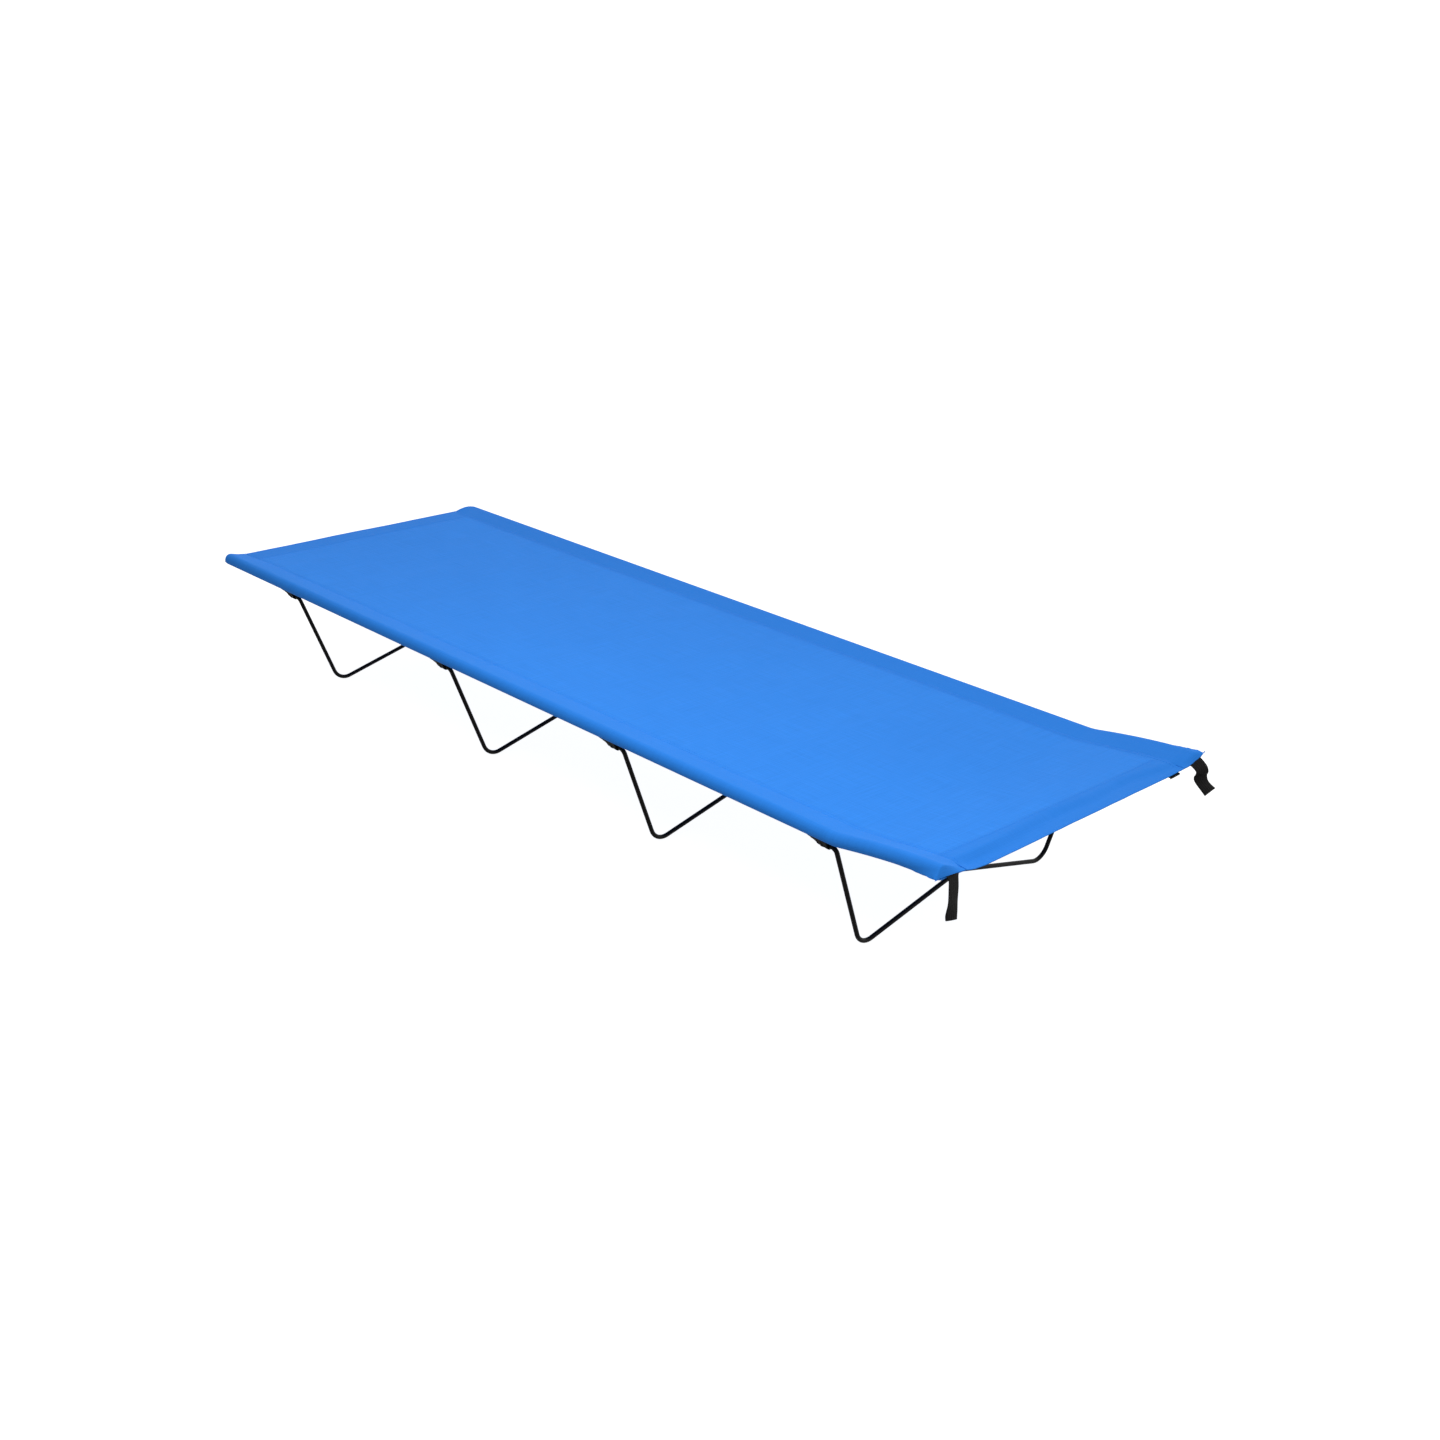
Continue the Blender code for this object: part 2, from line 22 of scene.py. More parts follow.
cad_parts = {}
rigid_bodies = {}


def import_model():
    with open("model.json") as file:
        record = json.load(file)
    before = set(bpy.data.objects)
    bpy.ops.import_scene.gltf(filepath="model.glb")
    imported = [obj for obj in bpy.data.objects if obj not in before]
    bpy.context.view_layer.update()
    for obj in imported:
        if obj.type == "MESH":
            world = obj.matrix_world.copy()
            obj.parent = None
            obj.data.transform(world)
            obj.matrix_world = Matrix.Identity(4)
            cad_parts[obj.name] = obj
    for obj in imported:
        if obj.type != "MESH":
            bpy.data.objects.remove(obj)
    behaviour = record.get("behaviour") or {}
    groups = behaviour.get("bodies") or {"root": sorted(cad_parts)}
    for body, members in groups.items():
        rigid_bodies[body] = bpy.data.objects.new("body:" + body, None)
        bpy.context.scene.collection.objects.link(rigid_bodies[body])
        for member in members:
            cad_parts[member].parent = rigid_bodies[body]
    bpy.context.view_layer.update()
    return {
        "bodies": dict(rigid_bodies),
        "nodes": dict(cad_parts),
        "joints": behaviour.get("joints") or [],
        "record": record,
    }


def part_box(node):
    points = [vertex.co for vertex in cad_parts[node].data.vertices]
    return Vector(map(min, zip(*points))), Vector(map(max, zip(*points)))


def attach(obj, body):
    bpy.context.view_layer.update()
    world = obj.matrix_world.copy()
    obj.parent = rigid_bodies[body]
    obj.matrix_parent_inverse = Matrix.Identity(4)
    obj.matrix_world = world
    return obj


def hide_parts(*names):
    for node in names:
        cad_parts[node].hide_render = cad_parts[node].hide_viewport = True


LOG = logging.getLogger("camp_bed")
MM = 0.001
TINY = 1e-9
Source = Union[bpy.types.Node, bpy.types.NodeSocket]
Feed = Union[Source, float, tuple]


class Side(Enum):
    """The two long sides of the bed, with the sign of their Y."""

    NEAR = -1
    FAR = 1

    @property
    def word(self) -> str:
        """The side as nodes and pieces spell it."""
        return self.name.lower()


class End(Enum):
    """The two ends of the bed."""

    FOOT = "foot"
    HEAD = "head"


def smooth_step(value: np.ndarray, start: float, end: float) -> np.ndarray:
    """A soft step, 0 up to where the value is start and 1 from where it is end."""
    share = np.clip((value - start) / (end - start), 0.0, 1.0)
    return share * share * (3 - 2 * share)


def ripple(place: np.ndarray, length: float, seed: int, waves: int = 5,
           spread: tuple[float, float] = (0.6, 1.7)) -> np.ndarray:
    """An uneven wave along one direction, the same each run.

    Args:
        place: Distances along the direction.
        length: The usual length of one wave.
        seed: Picks one wave train among many.
        waves: How many plain waves it is summed from.
        spread: The shortest and the longest of them, as shares of the usual length.

    Returns:
        Heights of about -1 to 1.
    """
    random = np.random.default_rng(seed)
    total = np.zeros_like(np.asarray(place, float))
    for _ in range(waves):
        stretch = random.uniform(*spread)
        total += np.sin(2 * math.pi * (place / (length * stretch) + random.uniform(0, 1)))
    return total / math.sqrt(waves)


@dataclass(frozen=True)
class Layout:
    """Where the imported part's pieces are, and the sizes that more than one dressed piece needs.

    Attributes:
        head_rest: Length of the raised head end.
        head_rise: How far it rises.
        rise_power: How many times steeper than on average it rises at the knee, where it starts.
        knee_softening: Half the length over which the poles' knee is rounded.
        socket_depth: How deep a leg's end is plugged into a clip.
        clip_lip_angle: Where round the pole a clip's lip ends, in degrees above outboard.
    """

    foot_x: float
    length: float
    pole_y: float
    pole_radius: float
    pole_z: float
    socket_y: float
    socket_z: float
    leg_x: tuple[float, ...]
    clip_x: tuple[tuple[float, float], ...]
    head_rest: float = 0.188
    head_rise: float = 0.0215
    rise_power: float = 1.6
    knee_softening: float = 0.010
    socket_depth: float = 0.023
    clip_lip_angle: float = -60.0

    @classmethod
    def from_frame(cls, frame: dict) -> Layout:
        """Reads the boxes of the sling, a pole and the clips, and the legs' hinges.


        Returns:
            The layout.
        """
        low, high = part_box("sling")
        pole_low, pole_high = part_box("pole_far_middle")
        hinges = sorted(j["pos_m"] for j in frame["joints"] if j["type"] == "hinge")
        clips = [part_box(f"clip_near_{number}") for number in range(1, len(hinges) + 1)]
        return cls(
            foot_x=low.x,
            length=high.x - low.x,
            pole_y=(pole_low.y + pole_high.y) / 2,
            pole_radius=(pole_high.y - pole_low.y) / 2,
            pole_z=(pole_low.z + pole_high.z) / 2,
            socket_y=abs(hinges[0][1]),
            socket_z=hinges[0][2],
            leg_x=tuple(hinge[0] for hinge in hinges),
            clip_x=tuple((box[0].x, box[1].x) for box in clips),
        )

    @property
    def knee(self) -> float:
        """Where along the bed the head rest starts to rise."""
        return self.length - self.head_rest

    def rail(self, s: np.ndarray, softening: float | None = None) -> np.ndarray:
        """Height of a pole's axis.

        Args:
            s: Distances along the bed.
            softening: Half the length over which the knee is rounded, if not the pole's own.

        Returns:
            Heights above the floor.
        """
        soft = softening or self.knee_softening
        past = np.asarray(s, float) - self.knee
        eased = np.where(past > soft, past, np.square(np.maximum(past + soft, 0.0)) / (4 * soft))
        share = np.clip(eased / self.head_rest, 0.0, 1.0)
        return self.pole_z + self.head_rise * (1 - (1 - share) ** self.rise_power)

    def on_pole(self, x: float, side: Side, section: np.ndarray) -> np.ndarray:
        """Sets a cross-section on a pole's axis.

        Args:
            x: Where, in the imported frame.
            side: Which pole.
            section: A row of u and w for each corner.

        Returns:
            The corners' world places.
        """
        axis_z = float(self.rail(np.array(x - self.foot_x)))
        y = side.value * (self.pole_y + section[:, 0])
        return np.column_stack([np.full(len(section), x), y, axis_z + section[:, 1]])


def shade(mesh: bpy.types.Mesh, sharp_angle: float) -> None:
    """Shades a mesh smooth, apart from edges that turn more than an angle in degrees."""
    mesh.shade_smooth()
    mesh.set_sharp_from_angle(angle=math.radians(sharp_angle))


def mesh_from(name: str, points: np.ndarray, faces: list, sharp_angle: float = 40.0) -> bpy.types.Mesh:
    """A smooth-shaded mesh.

    Args:
        name: The mesh's name.
        points: Corners, one row each.
        faces: Corner numbers of each face.
        sharp_angle: Edges that turn more than this many degrees stay sharp.

    Returns:
        The mesh.
    """
    mesh = bpy.data.meshes.new(name)
    mesh.from_pydata(np.asarray(points, float).tolist(), [], faces)
    mesh.update()
    shade(mesh, sharp_angle)
    return mesh


def keep_cloth_places(mesh: bpy.types.Mesh, places: np.ndarray) -> None:
    """Keeps each corner's place on the flat cloth or strap, from which its weave is drawn."""
    attribute = mesh.attributes.new("cloth_place", "FLOAT_VECTOR", "POINT")
    attribute.data.foreach_set("vector", places.ravel())


def keep_piece(name: str, mesh: bpy.types.Mesh, finish: bpy.types.Material | None) -> bpy.types.Object:
    """Puts a mesh into the scene.

    Args:
        name: The piece's name.
        mesh: Its mesh, in world space.
        finish: Its material, or none for a tool that is taken away again.

    Returns:
        The new object.
    """
    if finish:
        mesh.materials.append(finish)
    piece = bpy.data.objects.new(name, mesh)
    bpy.context.scene.collection.objects.link(piece)
    return piece


def bake_modifiers(piece: bpy.types.Object, sharp_angle: float) -> None:
    """Turns a piece's modifiers into its mesh.

    Args:
        piece: The object.
        sharp_angle: Edges that turn more than this many degrees stay sharp.
    """
    graph = bpy.context.evaluated_depsgraph_get()
    mesh = bpy.data.meshes.new_from_object(piece.evaluated_get(graph))
    piece.modifiers.clear()
    piece.data = mesh
    shade(mesh, sharp_angle)


def circle(sides: int) -> np.ndarray:
    """A row of two for each corner of a circle of radius 1."""
    turns = np.arange(sides) * 2 * math.pi / sides
    return np.column_stack([np.cos(turns), np.sin(turns)])


def ring_faces(rings: int, sides: int, capped: bool = True) -> list:
    """Faces of a tube whose corners come ring by ring.

    Args:
        rings: How many rings.
        sides: Corners of each ring.
        capped: Whether both ends are closed.

    Returns:
        The faces' corner numbers.
    """
    last = (rings - 1) * sides
    faces = []
    for low in range(0, last, sides):
        for side in range(sides):
            after = (side + 1) % sides
            faces.append((low + side, low + after, low + sides + after, low + sides + side))
    if capped:
        faces.append(tuple(reversed(range(sides))))
        faces.append(tuple(range(last, last + sides)))
    return faces


def swept_tube(route: np.ndarray, radius: float, sides: int) -> tuple[np.ndarray, list]:
    """A round bar along a route, carried along without twist.

    Args:
        route: Points of its centreline.
        radius: Its radius.
        sides: How many sides it has.

    Returns:
        Its corners and its faces.
    """
    forward = Vector(route[1] - route[0]).normalized()
    across = forward.orthogonal().normalized()
    rings = []
    for index, point in enumerate(route):
        ahead = route[min(index + 1, len(route) - 1)] - route[max(index - 1, 0)]
        heading = Vector(ahead).normalized()
        across = (forward.rotation_difference(heading) @ across).normalized()
        forward = heading
        rings.append(point + radius * circle(sides) @ np.array([across, heading.cross(across)]))
    return np.concatenate(rings), ring_faces(len(route), sides)


def fillet_route(corners: list, radii: list, steps: int) -> np.ndarray:
    """Straight runs between corners, with an arc at each inner corner.

    Args:
        corners: The corners, as vectors.
        radii: The bend at each inner corner.
        steps: Points on each bend.

    Returns:
        The route's points.
    """
    route = [corners[0]]
    for before, corner, after, radius in zip(corners, corners[1:], corners[2:], radii):
        back, ahead = (before - corner).normalized(), (after - corner).normalized()
        half = back.angle(ahead) / 2
        start = corner + back * (radius / math.tan(half))
        end = corner + ahead * (radius / math.tan(half))
        centre = corner + (back + ahead).normalized() * (radius / math.sin(half))
        axis = (start - centre).cross(end - centre).normalized()
        turn = math.pi - 2 * half
        for step in range(steps + 1):
            route.append(centre + Matrix.Rotation(turn * step / steps, 3, axis) @ (start - centre))
    route.append(corners[-1])
    return np.array([list(point) for point in route])


def curve_through(corners: list, steps: int) -> np.ndarray:
    """A smooth curve through corners.

    Args:
        corners: The corners, as arrays.
        steps: Points on each run from one corner to the next.

    Returns:
        The curve's points.
    """
    padded = [corners[0], *corners, corners[-1]]
    points = []
    for p0, p1, p2, p3 in zip(padded, padded[1:], padded[2:], padded[3:]):
        for t in np.arange(steps) / steps:
            points.append((2 * p1 + (p2 - p0) * t + (2 * p0 - 5 * p1 + 4 * p2 - p3) * t**2
                           + (3 * p1 - p0 - 3 * p2 + p3) * t**3) / 2)
    return np.array([*points, corners[-1]])


def linear(colour: str) -> tuple[float, float, float, float]:
    """An sRGB hex colour as Blender's linear one.

    Args:
        colour: Six hex digits after a hash.

    Returns:
        Red, green, blue and alpha.
    """
    shares = [int(colour[place : place + 2], 16) / 255 for place in (1, 3, 5)]
    made = [v / 12.92 if v <= 0.04045 else ((v + 0.055) / 1.055) ** 2.4 for v in shares]
    return (made[0], made[1], made[2], 1.0)


def feed(node: bpy.types.Node, key: str | int, value: Feed) -> None:
    """Sets one input of a node.

    Args:
        node: The node.
        key: The input's name or number.
        value: A plain value, a socket that feeds it, or a node whose first output in use does.
    """
    if isinstance(value, bpy.types.Node):
        value = next(output for output in value.outputs if output.enabled)
    if isinstance(value, bpy.types.NodeSocket):
        node.id_data.links.new(value, node.inputs[key])
    else:
        node.inputs[key].default_value = value


def add_node(tree: bpy.types.NodeTree, kind: str, inputs: dict | None = None,
             **settings: str) -> bpy.types.Node:
    """Adds a node with its settings and links.

    Args:
        tree: The material's node tree.
        kind: The node's type, without its ShaderNode prefix.
        inputs: What each input takes, by its name or number.
        **settings: The node's own properties.

    Returns:
        The node.
    """
    node = tree.nodes.new("ShaderNode" + kind)
    for name, value in settings.items():
        setattr(node, name, value)
    for key, value in (inputs or {}).items():
        feed(node, key, value)
    return node


def weave_height(tree: bpy.types.NodeTree, along: Source, across: Source, pitch: float,
                 bow: float = 0.4) -> bpy.types.Node:
    """Height of a plain weave, where one set of threads passes over the other by turns.

    Args:
        tree: The material's node tree.
        along: Distance along the cloth, in metres.
        across: Distance across the cloth, in metres.
        pitch: Distance from one thread to the next.
        bow: How much lower a thread's ends lie than its crown, as a share of its height.

    Returns:
        The node that gives heights of 0 to 1.
    """
    cells, crowns = [], []
    for place in (along, across):
        count = add_node(tree, "Math", {0: place, 1: pitch}, operation="DIVIDE")
        cells.append(add_node(tree, "Math", {0: count}, operation="FLOOR"))
        share = add_node(tree, "Math", {0: count}, operation="FRACT")
        inside = add_node(tree, "Math", {0: share, 1: 0.5}, operation="SUBTRACT")
        turn = add_node(tree, "Math", {0: inside, 1: math.pi}, operation="MULTIPLY")
        crowns.append(add_node(tree, "Math", {0: turn}, operation="COSINE"))
    number = add_node(tree, "Math", {0: cells[0], 1: cells[1]}, operation="ADD")
    over = add_node(tree, "Math", {0: number, 1: 2.0}, operation="FLOORED_MODULO")
    under = add_node(tree, "Math", {0: 1.0, 1: over}, operation="SUBTRACT")
    shown = []
    for mine, round_way, long_way in ((over, *crowns[::-1]), (under, *crowns)):
        bowed = add_node(tree, "Math", {0: long_way, 1: bow, 2: 1 - bow}, operation="MULTIPLY_ADD")
        thread = add_node(tree, "Math", {0: round_way, 1: bowed}, operation="MULTIPLY")
        shown.append(add_node(tree, "Math", {0: mine, 1: thread}, operation="MULTIPLY"))
    return add_node(tree, "Math", {0: shown[0], 1: shown[1]}, operation="ADD")


class Pattern(NamedTuple):
    """What a finish's own nodes give its shader.

    Attributes:
        base: The colour under all others.
        layers: The colours laid over it in turn, each with its share before it.
        height: The relief, if it has any.
        wear: Inputs of the map that varies its roughness, if any does.
    """

    base: str
    layers: list[tuple[Feed, str]]
    height: Source | None = None
    wear: dict | None = None


@dataclass(frozen=True)
class Finish:
    """A surface's material: the shader's plain numbers here, and a pattern in each kind's own nodes.

    Attributes:
        relief: How deep the pattern is.
        relief_strength: How much of that the light shows.
        wear_range: What wear adds to the roughness where it starts and where it is full.
    """

    name: str
    roughness: float
    metallic: float = 0.0
    ior: float = 1.5
    sheen: float = 0.0
    sheen_roughness: float = 0.4
    sheen_tint: str = "#FFFFFF"
    specular: float = 0.5
    relief: float = 0.05 * MM
    relief_strength: float = 1.0
    wear_range: tuple[float, float] = (0.0, 0.0)

    def make(self) -> bpy.types.Material:
        """Builds the material.

        Returns:
            The material, with its pattern linked to colour, roughness and normal.
        """
        made = bpy.data.materials.new(self.name)
        made.use_nodes = True
        tree = made.node_tree
        shader = tree.nodes["Principled BSDF"]
        plain = {
            "Roughness": self.roughness,
            "Metallic": self.metallic,
            "IOR": self.ior,
            "Sheen Weight": self.sheen,
            "Sheen Roughness": self.sheen_roughness,
            "Sheen Tint": linear(self.sheen_tint),
            "Specular IOR Level": self.specular,
        }
        pattern = self.pattern(tree)
        tone = linear(pattern.base)
        for share, colour in pattern.layers:
            # A mix of colours takes its share as input 0 and its two colours as inputs 6 and 7.
            tone = add_node(tree, "Mix", {0: share, 6: tone, 7: linear(colour)}, data_type="RGBA")
        fed = {"Base Color": tone}
        if pattern.wear:
            least, most = (self.roughness + change for change in self.wear_range)
            fed["Roughness"] = add_node(tree, "MapRange", {**pattern.wear, "To Min": least, "To Max": most})
        if pattern.height is not None:
            relief = {"Height": pattern.height, "Distance": self.relief, "Strength": self.relief_strength}
            fed["Normal"] = add_node(tree, "Bump", relief)
        for socket, value in [*plain.items(), *fed.items()]:
            feed(shader, socket, value)
        return made

    def pattern(self, tree: bpy.types.NodeTree) -> Pattern:
        """What the kind's own nodes give the shader."""
        raise NotImplementedError


@dataclass(frozen=True)
class OxfordCloth(Finish):
    """Coated nylon Oxford, dyed in the yarn: a plain weave with a soft sheen and faint slubs.

    Its threads lie 0.7 mm apart, too fine to show, so the weave is drawn at thread_pitch. Where cloth lies
    double, or over the near pole, its colour is painted deeper as shade: less light comes through from below.
    """

    name: str = "nylon_oxford_cloth"
    roughness: float = 0.66
    sheen: float = 0.02
    sheen_roughness: float = 0.45
    sheen_tint: str = "#BFDDFF"
    specular: float = 0.06
    relief: float = 0.10 * MM
    relief_strength: float = 0.8
    wear_range: tuple[float, float] = (0.12, -0.06)
    colour: str = "#2A81E1"
    deep: str = "#2372CB"
    pale: str = "#368FF1"
    # Painted shade: the colour in the weave's hollows.
    painted_pit_shade: str = "#1B5CA8"
    # Painted shade: the colour where the cloth lies double, or over the near pole.
    painted_double_shade: str = "#2577D3"
    evenness: float = 0.62
    cloud_share: float = 0.16
    pit_shade_share: float = 0.20
    thread_pitch: float = 1.9 * MM
    slub_length: float = 90 * MM
    slub_width: float = 2.4 * MM
    slub_height: float = 0.35
    cloud_length: float = 312.5 * MM

    def pattern(self, tree: bpy.types.NodeTree) -> Pattern:
        """Weave, slubs along both sets of threads, slow changes of tone, and painted shade in the weave's
        hollows.

        Args:
            tree: The material's node tree.

        Returns:
            What they give the shader.
        """
        place = add_node(tree, "Attribute", attribute_name="cloth_place").outputs["Vector"]
        # The cloth place's third number is the share of painted shade where the cloth lies double, or over
        # the near pole.
        along, across, double = add_node(tree, "SeparateXYZ", {0: place}).outputs
        height = weave_height(tree, along, across, self.thread_pitch)
        slubs = []
        for stretched, narrow in ((along, across), (across, along)):
            shrink = {0: stretched, 1: self.slub_width / self.slub_length}
            shrunk = add_node(tree, "Math", shrink, operation="MULTIPLY")
            point = add_node(tree, "CombineXYZ", {0: shrunk, 1: narrow})
            grain = {"Vector": point, "Scale": 1 / self.slub_width, "Detail": 2.0, "Roughness": 0.6}
            slubs.append(add_node(tree, "TexNoise", grain))
        both = add_node(tree, "Math", {0: slubs[0], 1: slubs[1]}, operation="ADD")
        streak = add_node(tree, "MapRange", {"Value": both, "From Min": 0.7, "From Max": 1.3})
        where = add_node(tree, "TexCoord").outputs["Object"]
        clouds = {"Vector": where, "Scale": 1 / self.cloud_length, "Detail": 3.0, "Roughness": 0.55}
        cloud = add_node(tree, "TexNoise", clouds)
        drift = add_node(tree, "MapRange", {"Value": cloud, "From Min": 0.3, "From Max": 0.7,
                                            "To Max": self.cloud_share})
        # Painted shade, deepest where the weave's threads dip lowest.
        hollow_shade = add_node(tree, "MapRange", {"Value": height, "To Min": self.pit_shade_share, "To Max": 0.0})
        layers = [(streak, self.pale), (self.evenness, self.colour), (drift, self.deep),
                  (double, self.painted_double_shade), (hollow_shade, self.painted_pit_shade)]
        total = add_node(tree, "Math", {0: streak, 1: self.slub_height, 2: height}, operation="MULTIPLY_ADD")
        return Pattern(self.deep, layers, total, {"Value": height})


@dataclass(frozen=True)
class SewingThread(Finish):
    """Bonded polyester sewing thread: two plies twisted together, pulled into the cloth."""

    name: str = "polyester_sewing_thread"
    roughness: float = 0.6
    specular: float = 0.08
    colour: str = "#277BD8"
    # Painted highlight: the paler colour on the plies' crowns.
    crown: str = "#348BEC"
    ply_pitch: float = 1.81 * MM

    def pattern(self, tree: bpy.types.NodeTree) -> Pattern:
        """The twist of the plies as fine slanted bands, their crowns painted paler as a highlight.

        Args:
            tree: The material's node tree.

        Returns:
            What they give the shader.
        """
        where = add_node(tree, "TexCoord").outputs["Object"]
        # The bands of a diagonal wave of scale 1 lie 0.2 pi metres apart along X, along Y and along Z.
        twist = {"Vector": where, "Scale": 0.2 * math.pi / self.ply_pitch, "Distortion": 0.6}
        bands = add_node(tree, "TexWave", twist, bands_direction="DIAGONAL").outputs["Fac"]
        return Pattern(self.colour, [(bands, self.crown)], bands)


@dataclass(frozen=True)
class RibbedWebbing(Finish):
    """Black polyester webbing: soft ribs along the strap, of flat, slightly shiny filaments."""

    name: str = "polyester_webbing"
    roughness: float = 0.6
    sheen: float = 0.01
    specular: float = 0.08
    relief: float = 0.12 * MM
    wear_range: tuple[float, float] = (-0.1, 0.1)
    colour: str = "#090808"
    # Painted highlight: the paler colour on the ribs' crowns.
    crown: str = "#181616"
    rib_pitch: float = 4.2 * MM
    filament: float = 0.45 * MM

    def pattern(self, tree: bpy.types.NodeTree) -> Pattern:
        """Rib crowns painted paler as a highlight, and filaments that run along the strap.

        Args:
            tree: The material's node tree.

        Returns:
            What they give the shader.
        """
        place = add_node(tree, "Attribute", attribute_name="cloth_place").outputs["Vector"]
        along, across = add_node(tree, "SeparateXYZ", {0: place}).outputs[:2]
        turn = add_node(tree, "Math", {0: across, 1: 2 * math.pi / self.rib_pitch}, operation="MULTIPLY")
        wave = add_node(tree, "Math", {0: turn}, operation="COSINE")
        crown = add_node(tree, "MapRange", {"Value": wave, "From Min": -1.0})
        weave = weave_height(tree, along, across, self.filament * 2)
        noise = add_node(tree, "TexNoise", {"Vector": place, "Scale": 1 / self.filament})
        # Painted highlight along the ribs' crowns, broken up by the filaments.
        shine = add_node(tree, "Math", {0: crown, 1: noise}, operation="MULTIPLY")
        total = add_node(tree, "Math", {0: weave, 1: noise}, operation="ADD")
        return Pattern(self.colour, [(shine, self.crown)], total, {"Value": noise})


@dataclass(frozen=True)
class PowderCoat(Finish):
    """Black polyester powder coat on steel wire: satin, with the fine orange peel of melted powder."""

    name: str = "black_powder_coat"
    roughness: float = 0.42
    specular: float = 0.12
    relief_strength: float = 0.6
    wear_range: tuple[float, float] = (-0.06, 0.14)
    colour: str = "#050303"
    worn: str = "#0D090A"
    peel: float = 1.4 * MM
    scuff: float = 30 * MM

    def pattern(self, tree: bpy.types.NodeTree) -> Pattern:
        """Orange peel, and slightly paler, duller scuffs.

        Args:
            tree: The material's node tree.

        Returns:
            What they give the shader.
        """
        where = add_node(tree, "TexCoord").outputs["Object"]
        peel = add_node(tree, "TexNoise", {"Vector": where, "Scale": 1 / self.peel, "Detail": 1.0})
        scuffs = {"Vector": where, "Scale": 1 / self.scuff, "Detail": 6.0, "Roughness": 0.7}
        scuff = add_node(tree, "TexNoise", scuffs)
        worn = add_node(tree, "MapRange", {"Value": scuff, "From Min": 0.52, "From Max": 0.75})
        wear = {"Value": scuff, "From Min": 0.3, "From Max": 0.75}
        return Pattern(self.colour, [(worn, self.worn)], peel, wear)


@dataclass(frozen=True)
class MouldedNylon(Finish):
    """Black injection-moulded nylon from a spark-eroded mould: a fine even grain with greyer rubbed spots."""

    name: str = "moulded_black_nylon"
    roughness: float = 0.55
    specular: float = 0.08
    relief: float = 0.04 * MM
    relief_strength: float = 0.5
    wear_range: tuple[float, float] = (-0.08, 0.1)
    colour: str = "#0B0B0C"
    rubbed: str = "#19191A"
    grain: float = 0.7 * MM
    rub: float = 12 * MM

    def pattern(self, tree: bpy.types.NodeTree) -> Pattern:
        """The mould's grain, and rubbed spots.

        Args:
            tree: The material's node tree.

        Returns:
            What they give the shader.
        """
        where = add_node(tree, "TexCoord").outputs["Object"]
        grain = add_node(tree, "TexVoronoi", {"Vector": where, "Scale": 1 / self.grain})
        rub = add_node(tree, "TexNoise", {"Vector": where, "Scale": 1 / self.rub, "Detail": 5.0})
        spots = add_node(tree, "MapRange", {"Value": rub, "From Min": 0.5, "From Max": 0.72})
        return Pattern(self.colour, [(spots, self.rubbed)], grain, {"Value": rub})


@dataclass(frozen=True)
class ZincTube(Finish):
    """Drawn steel tube with bright zinc: long, fine draw lines and a faint cool bloom."""

    name: str = "zinc_plated_tube"
    roughness: float = 0.34
    metallic: float = 1.0
    relief: float = 0.02 * MM
    wear_range: tuple[float, float] = (-0.1, 0.15)
    colour: str = "#BFC1C4"
    bloom: str = "#9FA3A8"
    line: float = 0.6 * MM
    stretch: float = 60.0

    def pattern(self, tree: bpy.types.NodeTree) -> Pattern:
        """Draw lines along the tube, which runs along X.

        Args:
            tree: The material's node tree.

        Returns:
            What they give the shader.
        """
        where = add_node(tree, "TexCoord").outputs["Object"]
        drawn = add_node(tree, "Mapping", {"Vector": where, "Scale": (1 / self.stretch, 1.0, 1.0)})
        lines = add_node(tree, "TexNoise", {"Vector": drawn, "Scale": 1 / self.line, "Detail": 3.0})
        return Pattern(self.colour, [(lines, self.bloom)], lines, {"Value": lines})


@dataclass(frozen=True)
class LightTable(Finish):
    """Translucent white acrylic, lit from behind: even, with a hint of its sanded grain."""

    name: str = "backlit_white_acrylic"
    roughness: float = 0.9
    specular: float = 0.2
    colour: str = "#888888"
    sanded: str = "#828282"
    sanding: float = 0.04
    grain: float = 4 * MM
    glow: float = 0.94

    def pattern(self, tree: bpy.types.NodeTree) -> Pattern:
        """Faint grain, and the light that comes through.

        Args:
            tree: The material's node tree.

        Returns:
            What they give the shader.
        """
        shader = tree.nodes["Principled BSDF"]
        feed(shader, "Emission Color", linear("#FFFFFF"))
        feed(shader, "Emission Strength", self.glow)
        where = add_node(tree, "TexCoord").outputs["Object"]
        noise = add_node(tree, "TexNoise", {"Vector": where, "Scale": 1 / self.grain, "Detail": 2.0})
        share = add_node(tree, "MapRange", {"Value": noise, "To Max": self.sanding})
        return Pattern(self.colour, [(share, self.sanded)])


class Finishes:
    """Every material, made once."""

    def __init__(self) -> None:
        """Builds them all."""
        self.cloth = OxfordCloth().make()
        self.thread = SewingThread().make()
        self.webbing = RibbedWebbing().make()
        self.powder_coat = PowderCoat().make()
        self.nylon = MouldedNylon().make()
        self.zinc = ZincTube().make()
        self.acrylic = LightTable().make()


@dataclass(frozen=True)
class TipShape:
    """How one sleeve end is sewn flat and shut past its pole.

    Attributes:
        bend: Where the flattened cloth's curve is drawn to, outboard of the pole's axis and above it.
        corner: Its outer corner, likewise.
        setback: How far that corner lies in from the bed's end.
        drawn: How far the corner draws the cloth off the pole's end.
        drawn_from: Where round the pole it starts to leave the pole, in degrees above outboard.
        drawn_length: How far from the bed's end that is.
    """

    bend: tuple[float, float]
    corner: tuple[float, float]
    setback: float = 0.0
    drawn: float = 0.0
    drawn_from: float = 0.0
    drawn_length: float = 0.08


